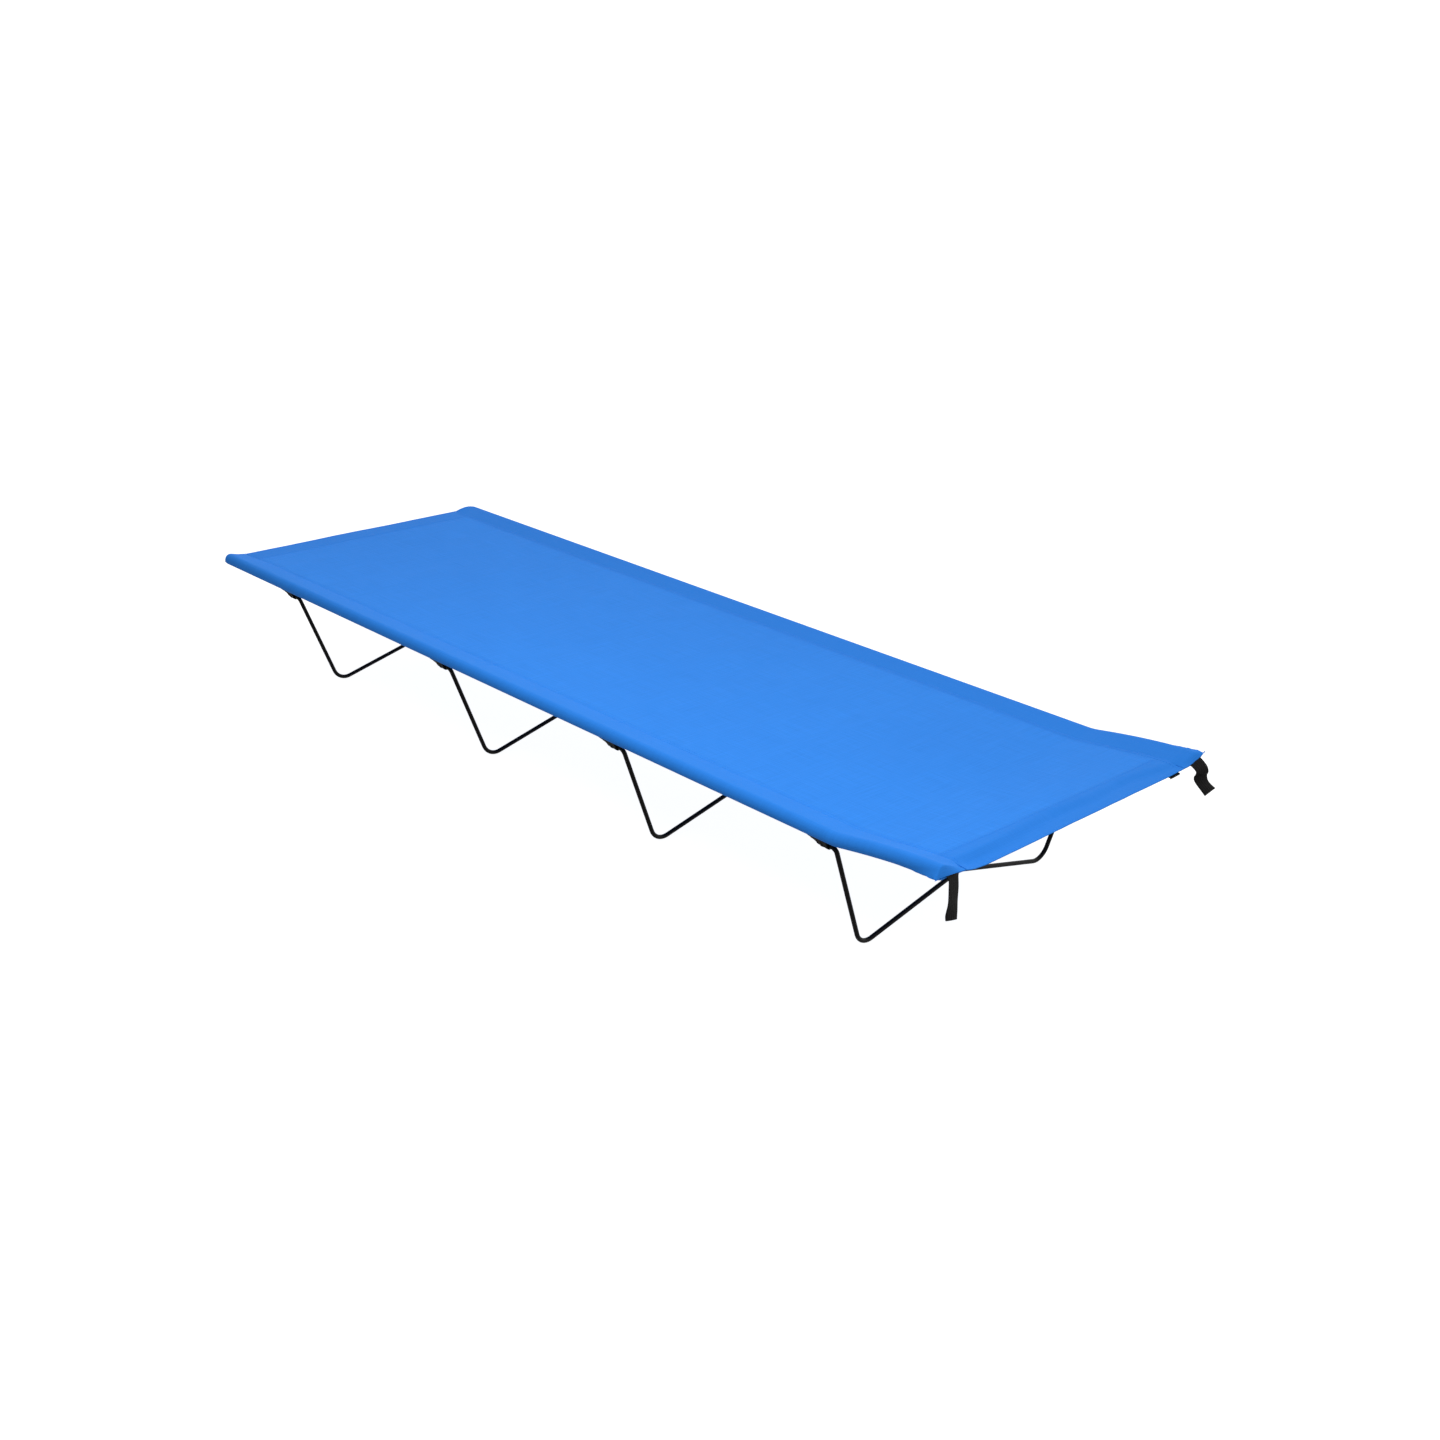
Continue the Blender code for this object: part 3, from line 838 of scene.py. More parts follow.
@dataclass(frozen=True)
class SeamShape:
    """How much lower one seam hangs in some places than along most of the bed.

    Attributes:
        foot: At the foot end.
        head: On the head rest.
        lip: At the head hem's turned-down edge.
        seed: Picks the gathers along it.
    """

    foot: float
    head: float
    lip: float
    seed: int


@dataclass(frozen=True)
class Swell:
    """Unevenness of the stretched panel, as two crossed waves.

    Attributes:
        height: How high it is.
        lengths: The waves' lengths, along the bed and across it.
        slants: How far each wave leans towards the other's direction.
        seed: Picks the first wave, and the number after it the second.
        fade: The power by which it dies out towards the seams.
    """

    height: float
    lengths: tuple[float, float]
    slants: tuple[float, float]
    seed: int
    fade: int

    def at(self, s: np.ndarray, y: np.ndarray, share: np.ndarray) -> np.ndarray:
        """Its height.

        Args:
            s: Distances along the bed.
            y: Distances across it.
            share: How far out they lie, from 0 in the middle to 1 at a seam.

        Returns:
            Heights to add.
        """
        along = ripple(s + self.slants[0] * y, self.lengths[0], self.seed)
        across = ripple(y + self.slants[1] * s, self.lengths[1], self.seed + 1)
        return self.height * along * across * (1 - share**self.fade)


@dataclass
class Sling:
    """The one cloth: a panel, a sleeve along each side, the folded hems and the rows of stitches.

    Attributes:
        ply_gap: Air between two layers of cloth.
        brink_shape: Across the bed, how far in from its end the head hem starts to turn down.
        head_edge_shape: Across the bed, how far the hem's edge hangs below the tops of the poles.
        edge_power: How suddenly, towards the seams, the panel's knee comes to follow the poles'.
        foot_ease: Length over which the seams come to their usual height from the foot end.
        head_ease: Where about the knee they start and stop changing it for the head rest.
        patch_level: How strong the gathers are on average between patches with more and with less.
        patch_most: How strong they are at most.
        patch_seed: What a seam's seed is raised by to pick its patches.
        full_shade: How much painted shade two layers get, where 1 is the full painted double-layer colour.
        near_shade: The same painted shade by the near seam, where it is weaker.
        pole_shade: What the painted shade adds where the near sleeve lies over its dark pole.
        near_blur: Where about the near seam that painted shade starts and is full.
        far_blur: The same about the far sleeve's inner row of stitches.
        snap: Corners this near to a gap's outline are drawn to it.
        digits: Decimals to which rows and columns are rounded, so that equal ones are found.
    """

    layout: Layout
    finishes: Finishes
    thickness: float = 0.0008
    sleeve_play: float = 0.0003
    ply_gap: float = 0.0001
    sleeve_width: float = 0.048
    allowance: float = 0.010
    seam_drop: float = 0.006
    sag: float = 0.0025
    sag_ease: float = 0.22
    panel_knee_softening: float = 0.045
    edge_power: int = 4
    hem: float = 0.050
    fold_radius: float = 0.0009
    tip_length: float = 0.0085
    tip_power: float = 1.5
    tip_close: int = 8
    brink_shape: tuple[tuple[float, float], ...] = (
        (-0.252, 0.018), (-0.160, 0.021), (-0.100, 0.027), (-0.030, 0.034), (0.065, 0.028), (0.126, 0.033),
        (0.160, 0.031), (0.200, 0.024), (0.252, 0.015))
    head_edge_shape: tuple[tuple[float, float], ...] = (
        (-0.252, 0.0150), (-0.235, 0.0195), (-0.209, 0.0213), (-0.103, 0.0198), (0.041, 0.0176),
        (0.211, 0.0154), (0.243, 0.0138), (0.252, 0.0132))
    lip_ease: float = 0.010
    foot_ease: float = 0.14
    head_ease: tuple[float, float] = (-0.03, 0.08)
    groove_depth: float = 0.00005
    groove_width: float = 0.0030
    gather_height: float = 0.00036
    gather_width: float = 0.014
    gather_length: float = 0.019
    gather_slant: float = 0.35
    gather_waves: int = 6
    patch_length: float = 0.17
    patch_level: float = 0.25
    patch_most: float = 1.5
    patch_seed: int = 7
    swells: tuple[Swell, ...] = (
        Swell(height=0.00055, lengths=(0.31, 0.22), slants=(0.3, -0.2), seed=3, fade=2),
        Swell(height=0.00016, lengths=(0.09, 0.12), slants=(0.8, 0.0), seed=5, fade=4))
    full_shade: float = 0.65
    near_shade: float = 0.28
    pole_shade: float = 0.17
    hem_blur: float = 0.004
    near_blur: tuple[float, float] = (-0.001, 0.002)
    far_blur: tuple[float, float] = (-0.006, 0.004)
    window_margin: float = 0.004
    window_corner: float = 0.006
    window_turn: float = 8.0
    window_inboard: float = 0.017
    panel_step: float = 0.007
    length_step: float = 0.006
    least_step: float = 0.0011
    snap: float = 0.00085
    digits: int = 5
    end_rows: tuple[float, ...] = (0.0, 0.0004, 0.0009, 0.0018, 0.003, 0.0045, 0.006, 0.0075, 0.009, 0.0105,
                                   0.014, 0.019)
    hem_steps: int = 8
    fold_steps: int = 6
    middle_rows_from: float = 0.024
    lip_rows: tuple[float, float, float] = (0.024, 0.060, 0.003)
    window_rows: tuple[float, ...] = (-0.0045, -0.003, -0.0015, 0, 0.0015, 0.003, 0.0045, 0.006)
    seam_columns: tuple[float, ...] = (0.0015, 0.003, 0.0045, 0.006, 0.009)
    plain_columns_from: tuple[float, float] = (0.012, 0.013)
    top_steps: int = 6
    round_steps: int = 22
    under_steps: int = 10
    allowance_steps: int = 3
    seam_insets: tuple[float, ...] = (0.0015, 0.0075)
    hem_inset: float = 0.004
    row_inset: float = 0.012
    seams: dict = field(default_factory=lambda: {
        Side.NEAR: SeamShape(foot=0.0030, head=0.0046, lip=0.0044, seed=11),
        Side.FAR: SeamShape(foot=-0.0010, head=0.0034, lip=0.0038, seed=12),
    })
    tips: dict = field(default_factory=lambda: {
        (End.FOOT, Side.NEAR): TipShape(bend=(0.007, 0.009), corner=(0.008, -0.007), setback=0.004),
        (End.FOOT, Side.FAR): TipShape(bend=(-0.003, 0.0165), corner=(0.015, 0.002), setback=0.002),
        (End.HEAD, Side.NEAR): TipShape(bend=(-0.009, -0.0045), corner=(0.0192, -0.0052), setback=0.005,
                                        drawn=0.0036, drawn_from=-55.0, drawn_length=0.080),
        (End.HEAD, Side.FAR): TipShape(bend=(-0.005, -0.0040), corner=(0.0150, 0.0110),
                                       drawn=0.0036, drawn_from=68.0, drawn_length=0.048),
    })

    def __post_init__(self) -> None:
        """Works out the sleeve's runs of cloth from its sizes."""
        self.radius = self.layout.pole_radius + self.sleeve_play + self.thickness + self.ply_gap
        self.seam = self.sleeve_width - self.radius
        self.half_panel = self.layout.pole_y - self.seam
        level = self.radius - self.seam_drop
        top, under = self.wrap(level)
        self.flat_run = math.sqrt(self.seam**2 + level**2 - self.radius**2)
        self.round_run = self.radius * (top - under)
        self.girth = 2 * self.flat_run + self.round_run
        self.half_width = self.half_panel + self.girth + self.allowance

    def wrap(self, level: np.ndarray) -> tuple[np.ndarray, np.ndarray]:
        """Where round its pole a sleeve's cloth comes to it from the seam, and where it leaves it below.

        Args:
            level: Height of the seam above the pole's axis.

        Returns:
            The two angles, up from outboard.
        """
        lift = np.arctan2(level, self.seam)
        opening = np.arccos(self.radius / np.hypot(level, self.seam))
        return math.pi - lift - opening, opening - lift - math.pi

    def turned_down(self, s: np.ndarray, brink: np.ndarray) -> np.ndarray:
        """From 0 before the place where the head hem turns down to 1 past it."""
        return 1 - smooth_step(self.layout.length - s - brink, -self.lip_ease, self.lip_ease)

    def seam_level(self, s: np.ndarray, side: Side) -> np.ndarray:
        """Height of one seam above its pole's axis.

        Args:
            s: Distances along the bed.
            side: Which side.

        Returns:
            Heights, less than nothing where the seam hangs below the axis.
        """
        lower, brink = self.seams[side], self.brink_shape[0 if side is Side.NEAR else -1][1]
        at_foot = 1 - smooth_step(s, 0.0, self.foot_ease)
        at_head = smooth_step(s, *(self.layout.knee + place for place in self.head_ease))
        level = self.radius - self.seam_drop - lower.foot * at_foot
        return level - lower.head * at_head - lower.lip * self.turned_down(s, brink)

    def puckers(self, s: np.ndarray, from_seam: np.ndarray, side: Side) -> np.ndarray:
        """Small gathers that the seam's stitches pull into the cloth, in patches.

        Args:
            s: Distances along the bed.
            from_seam: Distances from the seam, across.
            side: Which side.

        Returns:
            Heights to add.
        """
        seed = self.seams[side].seed
        groove = -self.groove_depth * np.exp(-np.square(from_seam / self.groove_width))
        near = np.exp(-np.square(from_seam / self.gather_width))
        uneven = (1 - self.patch_level) * ripple(s, self.patch_length, seed + self.patch_seed)
        patches = np.clip(self.patch_level + uneven, 0.0, self.patch_most)
        waves = ripple(s + self.gather_slant * from_seam, self.gather_length, seed, self.gather_waves)
        return groove + self.gather_height * near * patches * waves

    def panel_height(self, s: np.ndarray, y: np.ndarray) -> np.ndarray:
        """Height of the panel's top above the floor.

        Args:
            s: Distances along the bed.
            y: Distances across it.

        Returns:
            The heights.
        """
        layout = self.layout
        share = np.clip(np.abs(y) / self.half_panel, 0.0, 1.0)
        across = np.clip(y / self.half_panel, -1.0, 1.0) / 2 + 0.5
        level = self.seam_level(s, Side.NEAR) * (1 - across) + self.seam_level(s, Side.FAR) * across
        edge = share**self.edge_power
        rail = layout.rail(s) * edge + layout.rail(s, self.panel_knee_softening) * (1 - edge)
        sag = self.sag * smooth_step(s, 0.0, self.sag_ease) * (1 - share**2)
        depth, brink = (np.interp(y, *zip(*shape)) for shape in (self.head_edge_shape, self.brink_shape))
        lip = (depth - (self.radius - level) - sag) * self.turned_down(s, brink)
        height = rail + level - sag - lip
        for swell in self.swells:
            height = height + swell.at(s, y, share)
        gathers = [self.puckers(s, np.abs(y) - self.half_panel, side) for side in Side]
        return height + np.where(y < 0, *gathers)

    def fold(self, r: np.ndarray) -> tuple[np.ndarray, np.ndarray]:
        """Where a row of the panel lies along the bed, with its hems folded under.

        Args:
            r: The row's place on the flat cloth, less than nothing or past the length in the hems.

        Returns:
            Distances along the bed, and how far below the panel's top each lies.
        """
        length, bend = self.layout.length, self.fold_radius
        past = np.maximum(bend - r, r - (length - bend))
        turn = np.clip(past / bend, 0.0, math.pi)
        inward = np.maximum(past - math.pi * bend, 0.0)
        from_end = bend - bend * np.sin(turn) + inward
        folded = np.where(r < length / 2, from_end, length - from_end)
        s = np.where(past > 0, folded, r)
        return s, np.where(past > 0, bend * (1 - np.cos(turn)), 0.0)

    def sleeve(self, s: np.ndarray, run: np.ndarray, side: Side) -> tuple[np.ndarray, np.ndarray]:
        """A sleeve's outside, from its seam over the pole and back under to the seam.

        Args:
            s: Distances along the bed.
            run: Distances along the cloth, outward from the seam.
            side: Which side.

        Returns:
            Distances outboard of the pole's axis, and heights above it.
        """
        level = self.seam_level(s, side)
        top, under = self.wrap(level)
        upper = np.clip(run / self.flat_run, 0.0, 1.0)
        around = np.clip((run - self.flat_run) / self.round_run, 0.0, 1.0)
        lower = np.clip((run - self.flat_run - self.round_run) / self.flat_run, 0.0, 1.0)
        angle = top + (under - top) * around
        reach = self.radius * self.drawn_off(s, angle, side)
        low_level = level - 2 * self.thickness - self.ply_gap
        flattened = []
        for place, above, below in ((reach * np.cos(angle), -self.seam, -self.seam),
                                    (reach * np.sin(angle), level, low_level)):
            place = np.where(upper < 1, above + (place - above) * upper, place)
            flattened.append(np.where(lower > 0, place + (below - place) * lower, place))
        u, w = flattened
        w = w + self.puckers(s, run, side) * (upper < 1) * (1 - upper)
        return self.shut_tips(s, u, w, run, side)

    def tips_of(self, s: np.ndarray, side: Side) -> tuple:
        """For the foot end and the head end of a sleeve, its tip and the distances from it."""
        return ((self.tips[End.FOOT, side], s), (self.tips[End.HEAD, side], self.layout.length - s))

    def drawn_off(self, s: np.ndarray, angle: np.ndarray, side: Side) -> np.ndarray:
        """How far a corner draws the cloth off the end of its pole.

        Args:
            s: Distances along the bed.
            angle: Angles round the pole, up from outboard.
            side: Which side.

        Returns:
            Distances from the pole's axis, as multiples of the round sleeve's radius.
        """
        reach = np.ones(np.broadcast(s, angle).shape)
        for tip, from_tip in self.tips_of(s, side):
            if not tip.drawn:
                continue
            share = np.clip((tip.drawn_length - from_tip) / (tip.drawn_length - self.tip_length), 0.0, 1.0)
            start = math.radians(tip.drawn_from)
            turn = (math.atan2(tip.corner[1], tip.corner[0]) - start) * share**2
            touching = np.arccos(np.cos(turn) / (1 + tip.drawn / self.radius * share))
            off = np.abs(angle - start - turn)
            reach = np.where(off < touching, 1 / np.cos(touching - off), reach)
        return reach

    def shut_tips(self, s: np.ndarray, u: np.ndarray, w: np.ndarray, run: np.ndarray,
                  side: Side) -> tuple[np.ndarray, np.ndarray]:
        """Flattens a sleeve at both of its ends, where its whole girth lies double from the seam out.

        Args:
            s: Distances along the bed.
            u: Distances outboard of the pole's axis.
            w: Heights above the axis.
            run: Distances along the cloth, outward from the seam.
            side: Which side.

        Returns:
            The flattened u and w.
        """
        upper = run < self.girth / 2
        out = np.clip(np.where(upper, run, self.girth - run) * 2 / self.girth, 0.0, 1.0)
        level = self.seam_level(s, side) - self.thickness
        ply = np.where(upper, self.thickness, -self.thickness) * (1 - out**self.tip_close)
        for tip, from_tip in self.tips_of(s, side):
            press = np.clip(1 - from_tip / self.tip_length, 0.0, 1.0) ** self.tip_power
            flat_u, flat_w = (start * (1 - out) ** 2 + 2 * bend * out * (1 - out) + corner * out**2
                              for start, bend, corner in zip((-self.seam, level), tip.bend, tip.corner))
            u, w = u + (flat_u - u) * press, w + (flat_w + ply - w) * press
        return u, w

    def pulled_in(self, s: np.ndarray, u: np.ndarray, side: Side) -> np.ndarray:
        """Where a sleeve's cloth lies along the bed, its outer corners drawn in past the poles' ends.

        Args:
            s: Distances along the bed before that.
            u: Distances outboard of the pole's axis.
            side: Which side.

        Returns:
            Distances along the bed.
        """
        outward = np.clip((u + self.seam) / (self.radius + self.seam), 0.0, 1.0) ** self.tip_power
        at_foot, at_head = (tip.setback * outward * np.clip(1 - from_tip / self.tip_length, 0.0, 1.0)
                            for tip, from_tip in self.tips_of(s, side))
        return s + at_foot - at_head

    def place(self, r: np.ndarray, c: np.ndarray) -> np.ndarray:
        """World places of points of the flat cloth.

        Args:
            r: Distances along the cloth from the foot end.
            c: Distances across it from the middle, positive on the far side.

        Returns:
            One point in the last axis for each pair.
        """
        r, c = np.broadcast_arrays(np.asarray(r, float), np.asarray(c, float))
        layout, out = self.layout, np.abs(c)
        in_panel = out <= self.half_panel + TINY
        folded_s, folded_drop = self.fold(r)
        s = np.where(in_panel, folded_s, np.clip(r, 0.0, layout.length))
        along, y, z = s.copy(), c.copy(), self.panel_height(s, c) - folded_drop
        run = out - self.half_panel
        past = run - self.girth
        for side in Side:
            mine = ~in_panel & (np.sign(c) == side.value)
            u, w = self.sleeve(s, run, side)
            y = np.where(mine, side.value * (layout.pole_y + u), y)
            z = np.where(mine, layout.rail(s) + w, z)
            along = np.where(mine, self.pulled_in(s, u, side), along)
            inboard = side.value * (self.half_panel - past)
            sewn = self.panel_height(s, inboard) - 2 * self.thickness - self.ply_gap
            y = np.where(mine & (past > 0), inboard, y)
            z = np.where(mine & (past > 0), sewn, z)
        return np.stack([layout.foot_x + along, y, z], axis=-1)

    def rows(self) -> np.ndarray:
        """Works out the rows of the mesh, closest at the ends and at the gaps for the clips.

        Returns:
            Their places along the flat cloth.
        """
        length, turned, start = self.layout.length, math.pi * self.fold_radius, self.middle_rows_from
        hem = np.linspace(turned, turned + self.hem, self.hem_steps + 1)[1:]
        corner = np.linspace(0.0, turned, self.fold_steps + 1)[1:]
        ends, edges = np.array(self.end_rows), np.array(self.window_spans()).ravel()
        fixed = np.concatenate([-hem, -corner, ends, edges, length - ends, length + corner, length + hem])
        middle = np.linspace(start, length - start, int((length - 2 * start) / self.length_step) + 1)
        close = np.concatenate([edges + shift for shift in self.window_rows])
        every = np.concatenate([fixed, middle, close, length - np.arange(*self.lip_rows)])
        every = np.unique(np.round(every, self.digits)).tolist()
        fixed = set(np.round(fixed, self.digits).tolist())
        keep = every[:1]
        for value in every[1:]:
            if value - keep[-1] > self.least_step or value in fixed:
                keep.append(value)
        return np.array(keep)

    def columns(self) -> np.ndarray:
        """Works out the columns of the mesh, closest at the seams and at the gaps for the clips.

        Returns:
            Their places across the flat cloth.
        """
        seam, near_seam = self.half_panel, np.array(self.seam_columns)
        inner_end, outer_start = self.plain_columns_from
        inner = np.linspace(0.0, seam - inner_end, int(seam / self.panel_step))
        top = np.linspace(outer_start, self.flat_run, self.top_steps + 1)
        over = self.flat_run + np.linspace(0, self.round_run, self.round_steps + 1)[1:]
        under = self.flat_run + self.round_run + np.linspace(0, self.flat_run, self.under_steps + 1)[1:]
        spare = self.girth + np.linspace(0, self.allowance, self.allowance_steps + 1)[1:]
        windows = np.array(self.window_runs())
        outer = seam + np.concatenate([[0.0], -near_seam, near_seam, top, over, under, spare, windows])
        half = np.unique(np.round(np.concatenate([inner, outer]), self.digits)).tolist()
        fixed = set(np.round([seam, *(seam + windows)], self.digits).tolist())
        keep = [0.0]
        for value in half[1:]:
            if value in fixed and value - keep[-1] < self.least_step and keep[-1] not in fixed:
                keep.pop()
            if value - keep[-1] > self.least_step or value in fixed:
                keep.append(value)
        half = np.array(keep)
        return np.concatenate([-half[:0:-1], half])

    def window_spans(self) -> list[tuple[float, float]]:
        """Works out where the gaps for the clips lie along the bed.

        Returns:
            Start and end of each.
        """
        layout = self.layout
        return [(low - layout.foot_x - self.window_margin, high - layout.foot_x + self.window_margin)
                for low, high in layout.clip_x]

    def window_runs(self) -> tuple[float, float]:
        """Works out the gaps' outer edge, by the clips' lips, and their inner edge.

        Returns:
            Their places along the cloth from the seam.
        """
        top, under = self.wrap(self.radius - self.seam_drop)
        lip = math.radians(self.layout.clip_lip_angle + self.window_turn)
        start = self.flat_run + self.round_run * (top - lip) / (top - under)
        return start, self.flat_run + self.round_run + self.window_inboard

    def window_distance(self, r: np.ndarray, c: np.ndarray) -> np.ndarray:
        """How far points of the flat cloth lie outside the nearest gap for a clip.

        Args:
            r: Distances along the cloth.
            c: Distances across it.

        Returns:
            Distances, less than nothing inside a gap.
        """
        low, high = self.window_runs()
        run = np.abs(c) - self.half_panel
        nearest = np.full(np.broadcast(r, c).shape, 1.0)
        for start, end in self.window_spans():
            beyond_r = np.abs(r - (start + end) / 2) - ((end - start) / 2 - self.window_corner)
            beyond_c = np.abs(run - (low + high) / 2) - ((high - low) / 2 - self.window_corner)
            outside = np.hypot(np.maximum(beyond_r, 0), np.maximum(beyond_c, 0))
            inside = np.minimum(np.maximum(beyond_r, beyond_c), 0)
            nearest = np.minimum(nearest, outside + inside - self.window_corner)
        return nearest

    def grid(self) -> tuple[np.ndarray, np.ndarray]:
        """The mesh's corners on the flat cloth, drawn to the gaps' round corners.

        Returns:
            Distances along and across, a row for each row of corners.
        """
        r, c = np.meshgrid(self.rows(), self.columns(), indexing="ij")
        step = 1e-5
        for _ in range(2):
            off = self.window_distance(r, c)
            slope_r = (self.window_distance(r + step, c) - off) / step
            slope_c = (self.window_distance(r, c + step) - off) / step
            pull = np.where(np.abs(off) < self.snap, off, 0.0)
            r, c = r - slope_r * pull, c - slope_c * pull
        return r, c

    def painted_double_shade(self, r: np.ndarray, c: np.ndarray) -> np.ndarray:
        """How much painted shade the cloth gets where it lies double, or over a dark pole.

        Args:
            r: Distances along the cloth.
            c: Distances across it.

        Returns:
            From 0, one layer with no painted shade, towards 1, the full painted double-layer colour.
        """
        out, seam = np.abs(c), self.half_panel
        from_end = np.minimum(r, self.layout.length - r)
        blur = self.hem_blur
        hem = self.full_shade * (1 - smooth_step(from_end, self.hem - blur, self.hem + blur))
        over_pole = smooth_step(out, seam, seam + self.flat_run)
        near = self.near_shade + self.pole_shade * over_pole
        near = near * smooth_step(out, *(seam + place for place in self.near_blur))
        far = self.full_shade * smooth_step(out, *(seam - self.allowance + place for place in self.far_blur))
        return np.maximum(hem, np.where(c < 0, near, far))

    def make_cloth(self) -> bpy.types.Object:
        """Builds the cloth as one sheet with its real thickness.

        Returns:
            The cloth.
        """
        r, c = self.grid()
        number = np.arange(r.size).reshape(r.shape)
        quads = np.stack([number[:-1, :-1], number[1:, :-1], number[1:, 1:], number[:-1, 1:]], axis=-1)
        middle_r, middle_c = ((at[:-1, :-1] + at[1:, 1:]) / 2 for at in (r, c))
        hem_rows = (middle_r < 0) | (middle_r > self.layout.length)
        beyond = np.abs(middle_c) > self.half_panel
        gap = self.window_distance(middle_r, middle_c) < 0
        used, faces = np.unique(quads[~(hem_rows & beyond) & ~gap], return_inverse=True)
        points = self.place(r, c).reshape(-1, 3)[used]
        mesh = mesh_from("sling_cloth", points, faces.reshape(-1, 4).tolist())
        # The third number of each place is the painted shade where the cloth lies double, or over the near
        # pole.
        flat = np.stack([r, c, self.painted_double_shade(r, c)], axis=-1).reshape(-1, 3)[used]
        keep_cloth_places(mesh, flat)
        piece = keep_piece("sling_cloth", mesh, self.finishes.cloth)
        solid = piece.modifiers.new("cloth_thickness", "SOLIDIFY")
        solid.thickness = self.thickness
        solid.offset = -1.0
        solid.use_rim = True
        bake_modifiers(piece, sharp_angle=50.0)
        return piece

    def make_stitches(self) -> bpy.types.Object:
        """Builds every stitch that shows, on the cloth's upper and lower faces.

        Returns:
            The stitches, as one piece.
        """
        sewing = Stitching(self)
        length, seam = self.layout.length, self.half_panel
        for side in Side:
            for inset in self.seam_insets:
                sewing.along(self.row_inset, length - self.row_inset, side.value * (seam - inset))
        for edge in (self.hem_inset, self.hem - self.hem_inset):
            sewing.across(edge, seam - self.allowance)
            sewing.across(length - edge, seam - self.allowance)
        return sewing.finish("sling_stitches", self.finishes.thread)

    def build(self) -> None:
        """Builds the cloth and its stitches, and puts them on the bed."""
        cloth, stitches = self.make_cloth(), self.make_stitches()
        for piece in (cloth, stitches):
            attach(piece, "bed")
        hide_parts("sling")


@dataclass
class Stitching:
    """Rows of lockstitch on a sling, made as small arched bars of thread.

    Attributes:
        lift: How high each stitch arches above the cloth.
        stations: Five places along a stitch, as shares of its length.
        arch: The stitch's height at each, as a share of its lift.
        girths: Its thickness at each, as a share of the thread's.
    """

    sling: Sling
    stitch: float = 0.0042
    gap: float = 0.0012
    thread: float = 0.00030
    lift: float = 0.00014
    sides: int = 5
    stations: tuple[float, ...] = (0.0, 0.22, 0.5, 0.78, 1.0)
    arch: tuple[float, ...] = (-0.8, 0.55, 1.0, 0.55, -0.8)
    girths: tuple[float, ...] = (0.55, 0.95, 1.0, 0.95, 0.55)
    centres: list = field(default_factory=list)

    def along(self, start: float, end: float, c: float) -> None:
        """A row along the bed, at a distance c across the cloth."""
        self.row(start, end, lambda at: (at, np.full_like(at, c)))

    def across(self, r: float, half: float) -> None:
        """A row across the bed, half as long to each side, at a distance r along the cloth."""
        self.row(-half, half, lambda at: (np.full_like(at, r), at))

    def row(self, start: float, end: float, on_cloth: Callable) -> None:
        """Sets a row of stitches on the top face and another below.

        Args:
            start: Where the row starts.
            end: Where it ends.
            on_cloth: Turns distances along the row into places on the flat cloth.
        """
        step = self.stitch + self.gap
        at = np.arange(start, end - self.stitch, step)[:, None] + np.array(self.stations) * self.stitch
        arch = np.outer(np.array(self.arch) * self.lift, (0, 0, 1.0))
        below = np.array((0, 0, 2 * (self.sling.thickness + self.sling.ply_gap)))
        self.centres.append(self.sling.place(*on_cloth(at)) + arch)
        self.centres.append(self.sling.place(*on_cloth(at + step / 2)) - below - arch)

    def finish(self, name: str, thread: bpy.types.Material) -> bpy.types.Object:
        """Makes one piece of all the stitches.

        Args:
            name: The piece's name.
            thread: Its material.

        Returns:
            The piece.
        """
        lines = np.concatenate(self.centres)
        heading = lines[:, -1] - lines[:, 0]
        heading /= np.linalg.norm(heading, axis=1, keepdims=True)
        beside = np.cross(heading, [0.0, 0.0, 1.0])
        beside /= np.linalg.norm(beside, axis=1, keepdims=True)
        round_thread = circle(self.sides) @ np.stack([beside, np.cross(beside, heading)], axis=1)
        radii = self.thread * np.array(self.girths)
        points = lines[:, :, None, :] + round_thread[:, None, :, :] * radii[None, :, None, None]
        count = lines.shape[1] * self.sides
        faces = [tuple(corner + number * count for corner in face) for number in range(len(lines))
                 for face in ring_faces(lines.shape[1], self.sides)]
        return keep_piece(name, mesh_from(name, points.reshape(-1, 3), faces, sharp_angle=60.0), thread)


